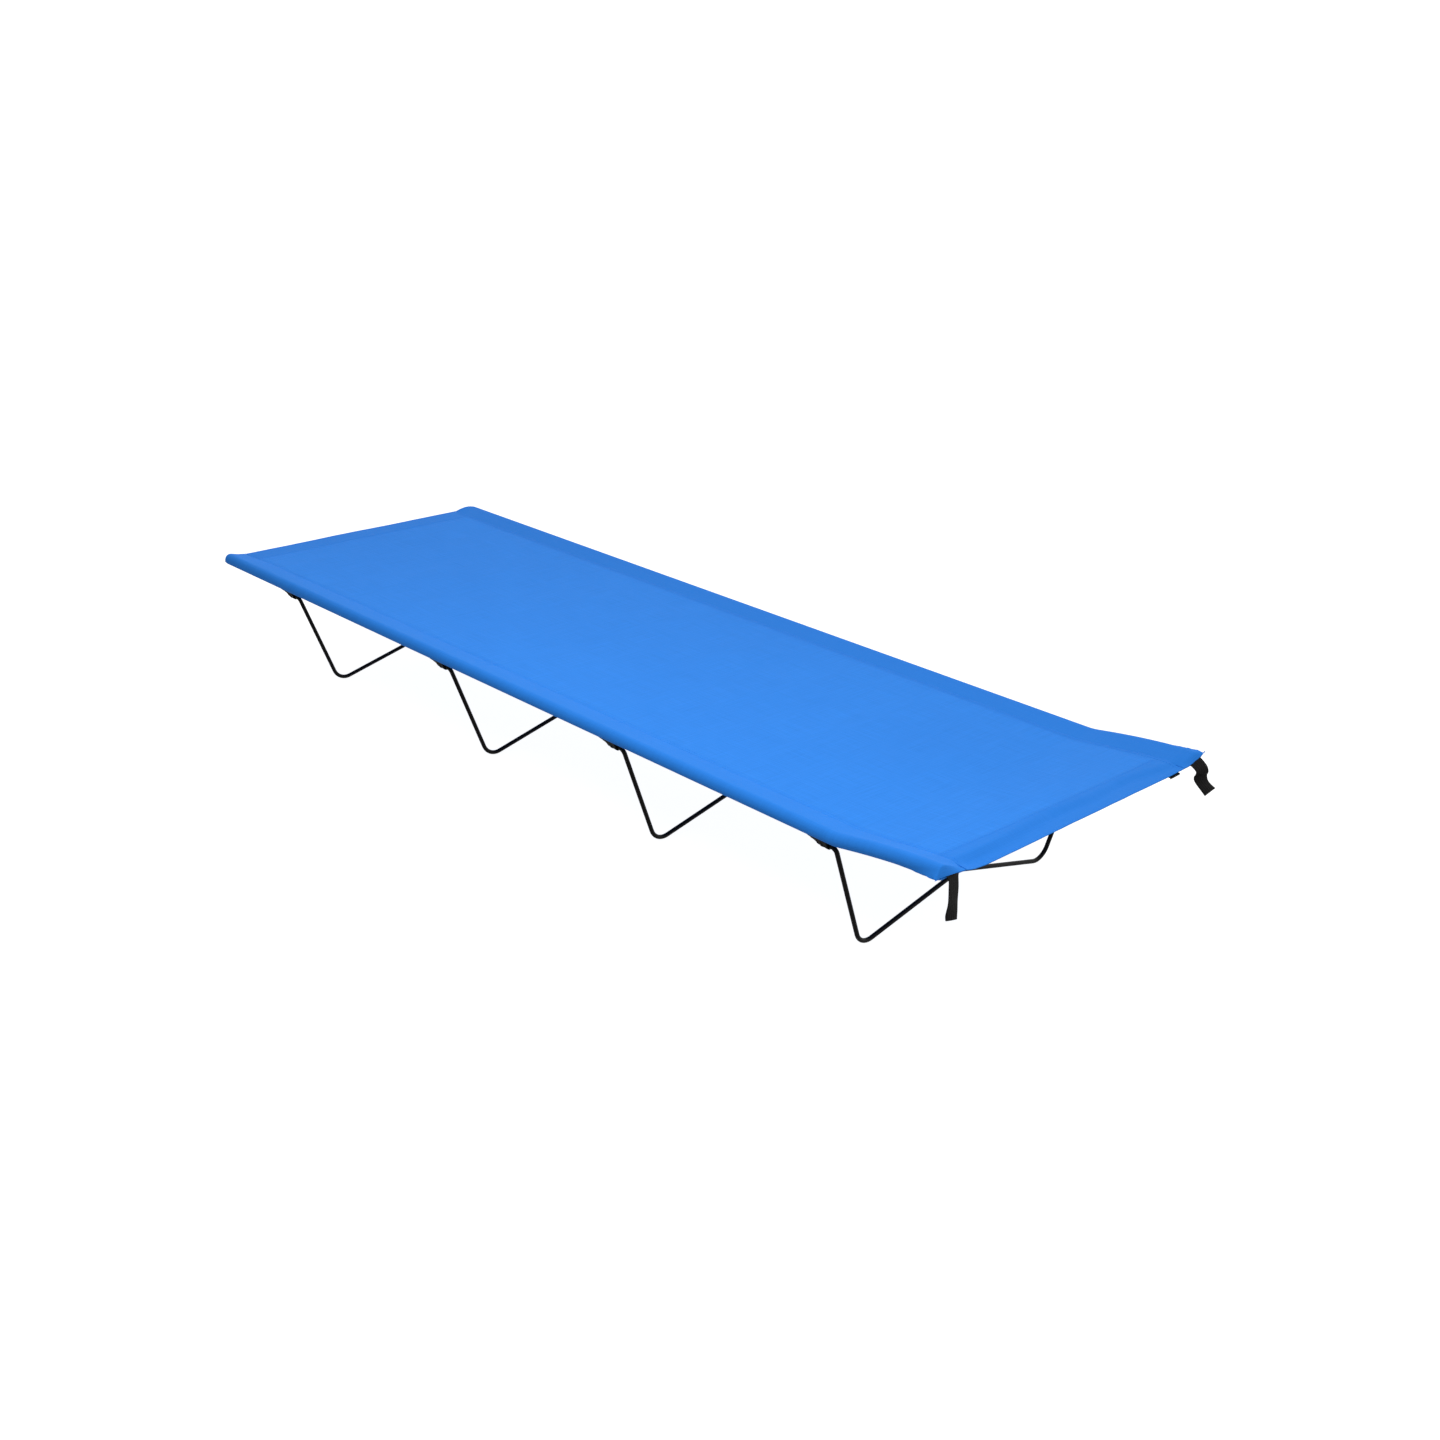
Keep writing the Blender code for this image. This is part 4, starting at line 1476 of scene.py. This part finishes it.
@dataclass
class WireLegs:
    """Four W-shaped legs bent from steel rod, each end plugged into a clip."""

    layout: Layout
    finishes: Finishes
    rod: float = 0.007
    sides: int = 24
    bend_steps: int = 14
    end_play: float = 0.0003
    top_bend: float = 0.009
    foot_inset: float = 0.073
    foot_bend: float = 0.028
    peak_height: float = 0.0515
    peak_bend: float = 0.030
    leans: tuple[float, ...] = (0.006, 0.005, -0.002, -0.007)
    lowering_rounds: int = 4

    def route(self, number: int, corner_z: float) -> np.ndarray:
        """The centreline of one leg.

        Args:
            number: Which leg, from 0 at the foot end.
            corner_z: Height of the sharp corner that each foot's bend rounds off.

        Returns:
            Points from the near end to the far end.
        """
        layout, lean = self.layout, self.leans[number]
        top_x, face = layout.leg_x[number], layout.clip_x[number][1]
        socket_y, socket_z = layout.socket_y, layout.socket_z
        peak_share = (socket_z - self.peak_height) / (socket_z - corner_z)
        half = [Vector((face - layout.socket_depth + self.end_play, socket_y, socket_z)),
                Vector((top_x, socket_y, socket_z)),
                Vector((top_x + lean, socket_y - self.foot_inset, corner_z))]
        near = [Vector((point.x, -point.y, point.z)) for point in half]
        peak = Vector((top_x + lean * peak_share, 0.0, self.peak_height))
        bends = [self.top_bend, self.foot_bend, self.peak_bend, self.foot_bend, self.top_bend]
        return fillet_route([*near, peak, *half[::-1]], bends, self.bend_steps)

    def build(self) -> None:
        """Builds the four legs, each lowered bit by bit until its feet stand on the floor."""
        for number in range(len(self.layout.leg_x)):
            corner_z = 0.0
            for _ in range(self.lowering_rounds):
                route = self.route(number, corner_z)
                corner_z += self.rod / 2 - route[:, 2].min()
            name = f"leg_{number + 1}"
            mesh = mesh_from(f"{name}_rod", *swept_tube(route, self.rod / 2, self.sides))
            piece = keep_piece(f"{name}_rod", mesh, self.finishes.powder_coat)
            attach(piece, name)
            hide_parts(name)
            LOG.info("%s: %d faces", name, len(mesh.polygons))


@dataclass
class LegClips:
    """Moulded clips: a hooked cradle for the pole above a socket for the leg's end.

    Attributes:
        cheek: Height of the hook's top above the pole's axis.
        taper: Length over which the socket's boss comes down from the cradle.
        boss_shrink: How much smaller the boss is where it has drawn up.
        lip_thinning: The lip's wall as a share of the cradle's.
        back_arc: Start and end of the cradle's back, in degrees above outboard.
        boss_arc: The same for the boss's round outside.
        ribs: Start and end of each raised band, from the blind end.
        rib_flank: Length of a rib's sloping side.
        socket_mouth: How far each of the mouth's rings lies out of the clip's face, and how much wider it is.
        least_edge: Edges that turn less than this many degrees aren't rounded.
        sharp_angle: Edges that turn more than this many degrees are shaded sharp.
    """

    layout: Layout
    finishes: Finishes
    bore: float = 0.0098
    wall: float = 0.0016
    cheek: float = 0.001
    top_round: tuple[float, float] = (0.0004, 0.0005)
    taper: float = 0.022
    taper_steps: int = 8
    boss_shrink: float = 0.4
    lip_thinning: float = 0.8
    back_arc: tuple[float, float] = (180.0, 210.0)
    boss_arc: tuple[float, float] = (190.0, 340.0)
    bore_steps: int = 22
    back_steps: int = 6
    boss_steps: int = 24
    lip_steps: int = 6
    socket_radius: float = 0.0038
    socket_end_radius: float = 0.0034
    socket_chamfer: float = 0.0006
    socket_mouth: tuple[tuple[float, float], ...] = ((-0.0008, 0.0), (0.0, 0.0006), (0.001, 0.0013))
    socket_sides: int = 28
    rib_height: float = 0.0004
    rib_flank: float = 0.0004
    ribs: tuple[tuple[float, float], ...] = ((0.0125, 0.0148), (0.0205, 0.0228), (0.0302, 0.0340))
    edge_round: float = 0.0005
    round_segments: int = 2
    least_edge: float = 60.0
    sharp_angle: float = 32.0

    def outline(self, drawn_up: float, swell: float) -> np.ndarray:
        """A clip's cross-section.

        Args:
            drawn_up: From 0, the full socket boss, to 1, the boss shrunk up to the cradle.
            swell: How far ribs stand proud.

        Returns:
            A row of u and w for each corner.
        """

        def arc(radius: float, start: float, end: float, steps: int,
                centre: tuple[float, float] = (0.0, 0.0)) -> list:
            """Points on an arc, in degrees."""
            turns = np.radians(np.linspace(start, end, steps + 1))
            return [(centre[0] + radius * math.cos(a), centre[1] + radius * math.sin(a)) for a in turns]

        layout = self.layout
        inset, drop = layout.pole_y - layout.socket_y, layout.pole_z - layout.socket_z
        boss = self.socket_radius + self.wall
        lift = drawn_up * (drop - self.bore - self.wall - boss / 2)
        boss = boss * (1 - self.boss_shrink * drawn_up) + swell
        back = self.bore + self.wall + swell
        step_in, step_up = self.top_round
        inside = arc(self.bore, layout.clip_lip_angle, -180.0, self.bore_steps)
        top = [(-self.bore, self.cheek), (-self.bore - step_in, self.cheek + step_up),
               (-back + step_in, self.cheek + step_up), (-back, self.cheek)]
        outside = arc(back, *self.back_arc, self.back_steps)
        around = arc(boss, *self.boss_arc, self.boss_steps, (-inset, lift - drop))
        half_lip = self.wall * self.lip_thinning / 2
        lip_turn = math.radians(layout.clip_lip_angle)
        outward = np.array([math.cos(lip_turn), math.sin(lip_turn)])
        onward = np.array([-outward[1], outward[0]])
        nose = [outward * (self.bore + half_lip * (1 + math.cos(a))) + onward * half_lip * math.sin(a)
                for a in np.linspace(0.0, math.pi, self.lip_steps + 1)[:-1]]
        return np.array([*inside, *top, *outside, *around, *[tuple(point) for point in nose]])

    def sections(self) -> list[tuple[float, np.ndarray]]:
        """Works out a clip's sections, from its blind end to its socket's mouth.

        Returns:
            For each, its distance from the blind end and its outline.
        """
        length = self.layout.clip_x[0][1] - self.layout.clip_x[0][0]
        places = {*np.linspace(0.0, self.taper, self.taper_steps + 1).tolist(), length}
        for start, end in self.ribs:
            places |= {start - self.rib_flank, start, min(end, length), min(end + self.rib_flank, length)}
        rows = []
        for place in sorted(places):
            eased = float(smooth_step(np.array(place), 0.0, self.taper))
            on_rib = any(start - TINY <= place <= end + TINY for start, end in self.ribs)
            rows.append((place, self.outline(1 - eased, self.rib_height if on_rib else 0.0)))
        return rows

    def socket_cutter(self, side: Side, face: float) -> bpy.types.Object:
        """The shape of a socket's hole, wider at its mouth.

        Args:
            side: Which side of the bed.
            face: X of the clip's face.

        Returns:
            The cutter.
        """
        radius, depth, sides = self.socket_radius, self.layout.socket_depth, self.socket_sides
        profile = [(-depth, self.socket_end_radius), (-depth + self.socket_chamfer, radius),
                   *((out, radius + wider) for out, wider in self.socket_mouth)]
        centre = np.array([side.value * self.layout.socket_y, self.layout.socket_z])
        rings = [np.column_stack([np.full(sides, face + along), centre + wide * circle(sides)])
                 for along, wide in profile]
        mesh = mesh_from("socket_cutter", np.concatenate(rings), ring_faces(len(profile), sides))
        return keep_piece("socket_cutter", mesh, None)

    def make_clip(self, number: int, side: Side) -> None:
        """Builds one clip.

        Args:
            number: Which leg it holds, from 0 at the foot end.
            side: Which side of the bed.
        """
        blind, face = self.layout.clip_x[number]
        rings = [self.layout.on_pole(blind + place, side, section) for place, section in self.sections()]
        node = f"clip_{side.word}_{number + 1}"
        mesh = mesh_from(f"{node}_moulding", np.concatenate(rings), ring_faces(len(rings), len(rings[0])))
        solid = bmesh.new()
        solid.from_mesh(mesh)
        bmesh.ops.recalc_face_normals(solid, faces=solid.faces)
        solid.to_mesh(mesh)
        solid.free()
        piece = keep_piece(f"{node}_moulding", mesh, self.finishes.nylon)
        rounded = piece.modifiers.new("edge_round", "BEVEL")
        rounded.width = self.edge_round
        rounded.segments = self.round_segments
        rounded.limit_method = "ANGLE"
        rounded.angle_limit = math.radians(self.least_edge)
        cutter = self.socket_cutter(side, face)
        hole = piece.modifiers.new("socket", "BOOLEAN")
        hole.object = cutter
        hole.operation = "DIFFERENCE"
        hole.solver = "EXACT"
        bake_modifiers(piece, self.sharp_angle)
        bpy.data.objects.remove(cutter, do_unlink=True)
        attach(piece, f"near_clip_{number + 1}" if side is Side.NEAR else f"leg_{number + 1}")
        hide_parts(node)

    def build(self) -> None:
        """Builds the eight clips."""
        for number in range(len(self.layout.leg_x)):
            for side in Side:
                self.make_clip(number, side)
        LOG.info("clips: %d", 2 * len(self.layout.leg_x))


@dataclass
class SidePoles:
    """Round steel tube sections that meet over the joint tubes inside them."""

    layout: Layout
    finishes: Finishes
    wall: float = 0.001
    sides: int = 40
    step: float = 0.012

    def make_section(self, node: str, side: Side) -> None:
        """Builds one section where its node lies.

        Args:
            node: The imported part's node.
            side: Which side of the bed.
        """
        layout = self.layout
        low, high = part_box(node)
        places = np.linspace(low.x, high.x, max(3, int((high.x - low.x) / self.step)))
        # Both sides' corners run the same way round, so that their faces look outward.
        ring = circle(self.sides) * (side.value, 1)
        rings = [layout.on_pole(x, side, layout.pole_radius * ring) for x in places]
        rings += [layout.on_pole(x, side, (layout.pole_radius - self.wall) * ring) for x in places[::-1]]
        count = len(rings) * self.sides
        faces = [tuple(corner % count for corner in face)
                 for face in ring_faces(len(rings) + 1, self.sides, capped=False)]
        mesh = mesh_from(f"{node}_tube", np.concatenate(rings), faces)
        piece = keep_piece(f"{node}_tube", mesh, self.finishes.powder_coat)
        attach(piece, "bed")
        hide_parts(node)

    def build(self) -> None:
        """Builds the six sections."""
        for side in Side:
            for section in ("foot", "middle", "head"):
                self.make_section(f"pole_{side.word}_{section}", side)
        LOG.info("pole sections: 6")


@dataclass(frozen=True)
class Hang:
    """How one strap leaves the edge of the cloth and hangs, for each of its own two edges.

    Attributes:
        inboard: For each point past the edge of the cloth, how far out and how far down it lies.
        outboard: The same for the strap's other edge.
        cup: How far its middle bulges out.
        root: Length that is sewn to the cloth.
    """

    inboard: tuple[tuple[float, float], ...]
    outboard: tuple[tuple[float, float], ...]
    cup: float
    root: float = 0.006


@dataclass
class PullTabs:
    """Two webbing straps sewn into the head corners, and the end of one that shows under the hem.

    Attributes:
        insets: How far in from the pole's axis each strap's middle lies.
        flutter: How far a strap's edges sway to and fro along it.
        selvedge: Its edges' thickness, as a share of its middle's.
        selvedge_power: How suddenly it thins there.
        sewn_shares: Where its sewn points lie, in from the edge, as shares of its sewn length.
    """

    layout: Layout
    finishes: Finishes
    sling: Sling
    width: float = 0.025
    thickness: float = 0.0015
    columns: int = 41
    curve_steps: int = 16
    insets: dict = field(default_factory=lambda: {Side.NEAR: 0.0138, Side.FAR: 0.0088})
    hangs: dict = field(default_factory=lambda: {
        Side.NEAR: Hang(
            inboard=((-0.0030, 0.0050), (-0.0012, 0.0200), (-0.0003, 0.0430), (0.0006, 0.0580),
                     (0.0013, 0.0670)),
            outboard=((0.0008, 0.0030), (0.0021, 0.0117), (0.0033, 0.0360), (0.0012, 0.0540),
                      (0.0020, 0.0612)),
            cup=0.0008),
        Side.FAR: Hang(
            inboard=((0.0060, 0.0036), (0.0104, 0.0076), (0.0098, 0.0124), (0.0082, 0.0165),
                     (0.0116, 0.0240), (0.0301, 0.0392)),
            outboard=((0.0071, 0.0050), (0.0140, 0.0111), (0.0165, 0.0183), (0.0150, 0.0244),
                      (0.0190, 0.0330), (0.0317, 0.0392)),
            cup=0.0006),
    })
    rib_pitch: float = RibbedWebbing.rib_pitch
    rib_height: float = 0.00018
    flutter: float = 0.0005
    flutter_length: float = 0.03
    flutter_seed: int = 21
    selvedge: float = 0.15
    selvedge_power: int = 12
    sewn_shares: tuple[float, ...] = (1.0, 0.75, 0.5, 0.25)
    tail: Hang = Hang(
        inboard=((0.0006, 0.0004), (0.0008, 0.0012), (0.0006, 0.0020)),
        outboard=((0.0006, 0.0004), (0.0008, 0.0012), (0.0006, 0.0020)),
        cup=0.0, root=0.024)
    tail_centre: float = 0.2275

    def seat(self, s: float, y: float) -> float:
        """Height of a sewn strap's middle, between a sleeve's two flattened layers or under the hem.

        Args:
            s: Distance along the bed.
            y: Distance across it.

        Returns:
            The height.
        """
        sling, length = self.sling, self.layout.length
        if abs(y) < sling.half_panel:
            hem_depth = 2 * sling.fold_radius + sling.thickness + sling.ply_gap
            return float(sling.panel_height(np.array(s), np.array(y))) - hem_depth - self.thickness / 2
        side, points = Side.FAR if y > 0 else Side.NEAR, 80
        u, w = sling.sleeve(np.full(points, length), np.linspace(0.0, sling.girth / 2, points), side)
        height = float(np.interp(abs(y) - self.layout.pole_y, u, w)) - sling.thickness
        return float(self.layout.rail(np.array(length))) + height

    def route(self, path: tuple[tuple[float, float], ...], root: float, y: float) -> np.ndarray:
        """One edge of a strap.

        Args:
            path: Its points past the edge of the cloth, out and down.
            root: Length that is sewn to the cloth.
            y: Its place across the bed.

        Returns:
            Rows of x and z, from the sewn root to the free end.
        """
        length = self.layout.length
        sewn = [length - root * share for share in self.sewn_shares]
        corners = [np.array([place, self.seat(place, y)]) for place in sewn]
        edge_z = self.seat(length, y)
        corners += [np.array([length + out, edge_z - down]) for out, down in path]
        return curve_through(corners, self.curve_steps)

    def make_strap(self, name: str, side: Side, hang: Hang, centre: float) -> bpy.types.Object:
        """Builds one strap with its lengthwise ribs.

        Args:
            name: The piece's name.
            side: Which side of the bed.
            hang: How it hangs.
            centre: Its middle across the bed, from the bed's own middle.

        Returns:
            The strap, with its real thickness.
        """
        across = np.linspace(-0.5, 0.5, self.columns)
        inboard, outboard = (
            self.route(path, hang.root, side.value * (centre + half * self.width))[:, None, :]
            for path, half in ((hang.inboard, -0.5), (hang.outboard, 0.5)))
        ruled = inboard * (0.5 - across)[None, :, None] + outboard * (0.5 + across)[None, :, None]
        middle = (inboard + outboard)[:, 0] / 2
        steps = np.concatenate([[0.0], np.cumsum(np.linalg.norm(np.diff(middle, axis=0), axis=1))])
        progress = np.clip((steps - hang.root) / (steps[-1] - hang.root), 0.0, 1.0)[:, None]
        heading = np.gradient(middle, axis=0)
        heading /= np.linalg.norm(heading, axis=1, keepdims=True)
        normal = np.stack([-heading[:, 1], 0 * steps, heading[:, 0]], axis=1)[:, None, :]
        sway = self.flutter * ripple(steps, self.flutter_length, self.flutter_seed)[:, None]
        bulge = progress * (hang.cup * (1 - np.square(2 * across)) + sway * 2 * across)
        y = np.broadcast_to(side.value * (centre + across * self.width), bulge.shape)
        top = np.stack([self.layout.foot_x + ruled[..., 0], y, ruled[..., 1]], axis=-1)
        top = top + normal * bulge[..., None]
        rib = 0.5 + 0.5 * np.cos(2 * math.pi * across * self.width / self.rib_pitch)
        rim = np.sqrt(np.clip(1 - (np.abs(across) * 2) ** self.selvedge_power, 0.0, 1.0))
        half = self.thickness / 2 - self.rib_height * (1 - rib)
        half = (half * (self.selvedge + (1 - self.selvedge) * rim))[None, :, None]
        rings = np.concatenate([top + normal * half, (top - normal * half)[:, ::-1]], axis=1)
        rows, sides = rings.shape[:2]
        mesh = mesh_from(name, rings.reshape(-1, 3), ring_faces(rows, sides), sharp_angle=50.0)
        flat = np.zeros((rows, sides, 3))
        flat[..., 0] = steps[:, None]
        flat[..., 1] = np.concatenate([across, across[::-1]]) * self.width
        keep_cloth_places(mesh, flat)
        piece = keep_piece(name, mesh, self.finishes.webbing)
        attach(piece, "bed")
        LOG.info("%s: %.0f mm long", name, steps[-1] / MM)
        return piece

    def build(self) -> None:
        """Builds both straps and the end that shows under the hem."""
        for side in Side:
            centre = self.layout.pole_y - self.insets[side]
            strap = self.make_strap(f"pull_tab_{side.word}_strap", side, self.hangs[side], centre)
            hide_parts(f"pull_tab_{side.word}")
        self.make_strap("pull_tab_far_tail", Side.FAR, self.tail, self.tail_centre)


@dataclass
class Studio:
    """A backlit white table that curves up all round, under a wide light from behind and a strip in front.

    The table is only seen: it throws no light back, so the dark undersides stay as dark as in the photograph.

    Attributes:
        camera_place: Where the photograph was taken from.
        camera_aim: The direction it was taken in.
        camera_roll: How far the camera leans, in degrees.
        fill: Light from all round.
        key: What the brightest direction, key_from, adds to it.
    """

    finishes: Finishes
    camera_place: tuple[float, float, float] = (2.105725, -1.9035, 1.2265)
    camera_aim: tuple[float, float, float] = (-0.66152, 0.64922, -0.37537)
    camera_roll: float = 2.18
    lens: float = 44.27
    sensor: float = 36.0
    floor_radius: float = 6.0
    sweep_radius: float = 2.5
    sweep_steps: int = 12
    spin_steps: int = 64
    wall_height: float = 3.0
    fill: float = 0.475
    key: float = 1.03
    key_from: tuple[float, float, float] = (0.0, 0.75, 0.66)
    strip_place: tuple[float, float, float] = (0.6, -0.7, 1.0)
    strip_aim: tuple[float, float, float] = (0.6, 0.0, 0.2)
    strip_size: tuple[float, float] = (1.8, 0.5)
    strip_power: float = 5.6

    def set_camera(self) -> None:
        """Sets the camera where the photograph was taken from."""
        forward = Vector(self.camera_aim).normalized()
        roll = math.radians(self.camera_roll)
        level = forward.cross(Vector((0, 0, 1))).normalized()
        upright = level.cross(forward)
        right = level * math.cos(roll) + upright * math.sin(roll)
        up = upright * math.cos(roll) - level * math.sin(roll)
        turned = Matrix((right, up, -forward)).transposed().to_4x4()
        data = bpy.data.cameras.new("photo_camera")
        data.lens, data.sensor_width = self.lens, self.sensor
        camera = bpy.data.objects.new("photo_camera", data)
        camera.matrix_world = Matrix.Translation(self.camera_place) @ turned
        bpy.context.scene.collection.objects.link(camera)
        bpy.context.scene.camera = camera

    def make_sweep(self) -> None:
        """The floor, curved up into a wall all round."""
        profile = [(0.0, 0.0), (self.floor_radius * 0.5, 0.0), (self.floor_radius, 0.0)]
        for step in range(1, self.sweep_steps + 1):
            turn = math.pi / 2 * step / self.sweep_steps
            profile.append((self.floor_radius + self.sweep_radius * math.sin(turn),
                            self.sweep_radius * (1 - math.cos(turn))))
        profile.append((self.floor_radius + self.sweep_radius, self.sweep_radius + self.wall_height))
        bm = bmesh.new()
        corners = [bm.verts.new((reach, 0.0, height)) for reach, height in profile]
        for first, second in zip(corners, corners[1:]):
            bm.edges.new((first, second))
        bmesh.ops.spin(bm, geom=bm.verts[:] + bm.edges[:], cent=(0, 0, 0), axis=(0, 0, 1),
                       angle=2 * math.pi, steps=self.spin_steps, use_merge=True)
        bmesh.ops.remove_doubles(bm, verts=bm.verts, dist=1e-5)
        bmesh.ops.recalc_face_normals(bm, faces=bm.faces)
        mesh = bpy.data.meshes.new("studio_sweep")
        bm.to_mesh(mesh)
        bm.free()
        mesh.shade_smooth()
        sweep = keep_piece("studio_sweep", mesh, self.finishes.acrylic)
        sweep.visible_diffuse = False
        sweep.visible_glossy = False
        sweep.visible_shadow = False

    def make_sky(self) -> None:
        """Light from all round, brighter towards one wide patch overhead."""
        world = bpy.data.worlds.new("soft_studio_light")
        world.use_nodes = True
        tree = world.node_tree
        heading = add_node(tree, "TexCoord").outputs["Generated"]
        key_from = Vector(self.key_from).normalized()
        facing = add_node(tree, "VectorMath", {0: heading, 1: key_from}, operation="DOT_PRODUCT")
        strength = add_node(tree, "MapRange", {"Value": facing, "To Min": self.fill,
                                               "To Max": self.fill + self.key})
        background = tree.nodes["Background"]
        feed(background, "Color", linear("#FFFFFF"))
        feed(background, "Strength", strength)
        bpy.context.scene.world = world

    def add_strip(self) -> None:
        """A long soft lamp above the near side, which makes the cloth lighter towards that side."""
        data = bpy.data.lights.new("strip_softbox", "AREA")
        data.shape, data.energy = "RECTANGLE", self.strip_power
        data.size, data.size_y = self.strip_size
        lamp = bpy.data.objects.new("strip_softbox", data)
        lamp.location = self.strip_place
        back = Vector(self.strip_place) - Vector(self.strip_aim)
        lamp.rotation_euler = back.to_track_quat("Z", "Y").to_euler()
        lamp.visible_camera = False
        bpy.context.scene.collection.objects.link(lamp)

    def build(self) -> None:
        """Sets up the whole studio."""
        bpy.context.scene.view_settings.view_transform = "Standard"
        self.make_sky()
        self.make_sweep()
        self.add_strip()
        self.set_camera()


def finish_inner_nodes(frame: dict, finishes: Finishes) -> None:
    """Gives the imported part's own joint tubes and end plugs their materials.

    Args:
        finishes: The materials.
    """
    for name, node in frame["nodes"].items():
        if name.startswith(("joint_tube", "end_plug")):
            node.data.materials.clear()
            node.data.materials.append(finishes.zinc if name.startswith("joint_tube") else finishes.nylon)
            LOG.info("%s: its own mesh", name)


def main() -> None:
    """Builds and dresses the whole bed."""
    logging.basicConfig(level=logging.INFO, format="%(name)s: %(message)s")
    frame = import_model()
    layout = Layout.from_frame(frame)
    finishes = Finishes()
    sling = Sling(layout, finishes)
    sling.build()
    WireLegs(layout, finishes).build()
    LegClips(layout, finishes).build()
    SidePoles(layout, finishes).build()
    PullTabs(layout, finishes, sling).build()
    finish_inner_nodes(frame, finishes)
    Studio(finishes).build()


if __name__ == "__main__":
    main()
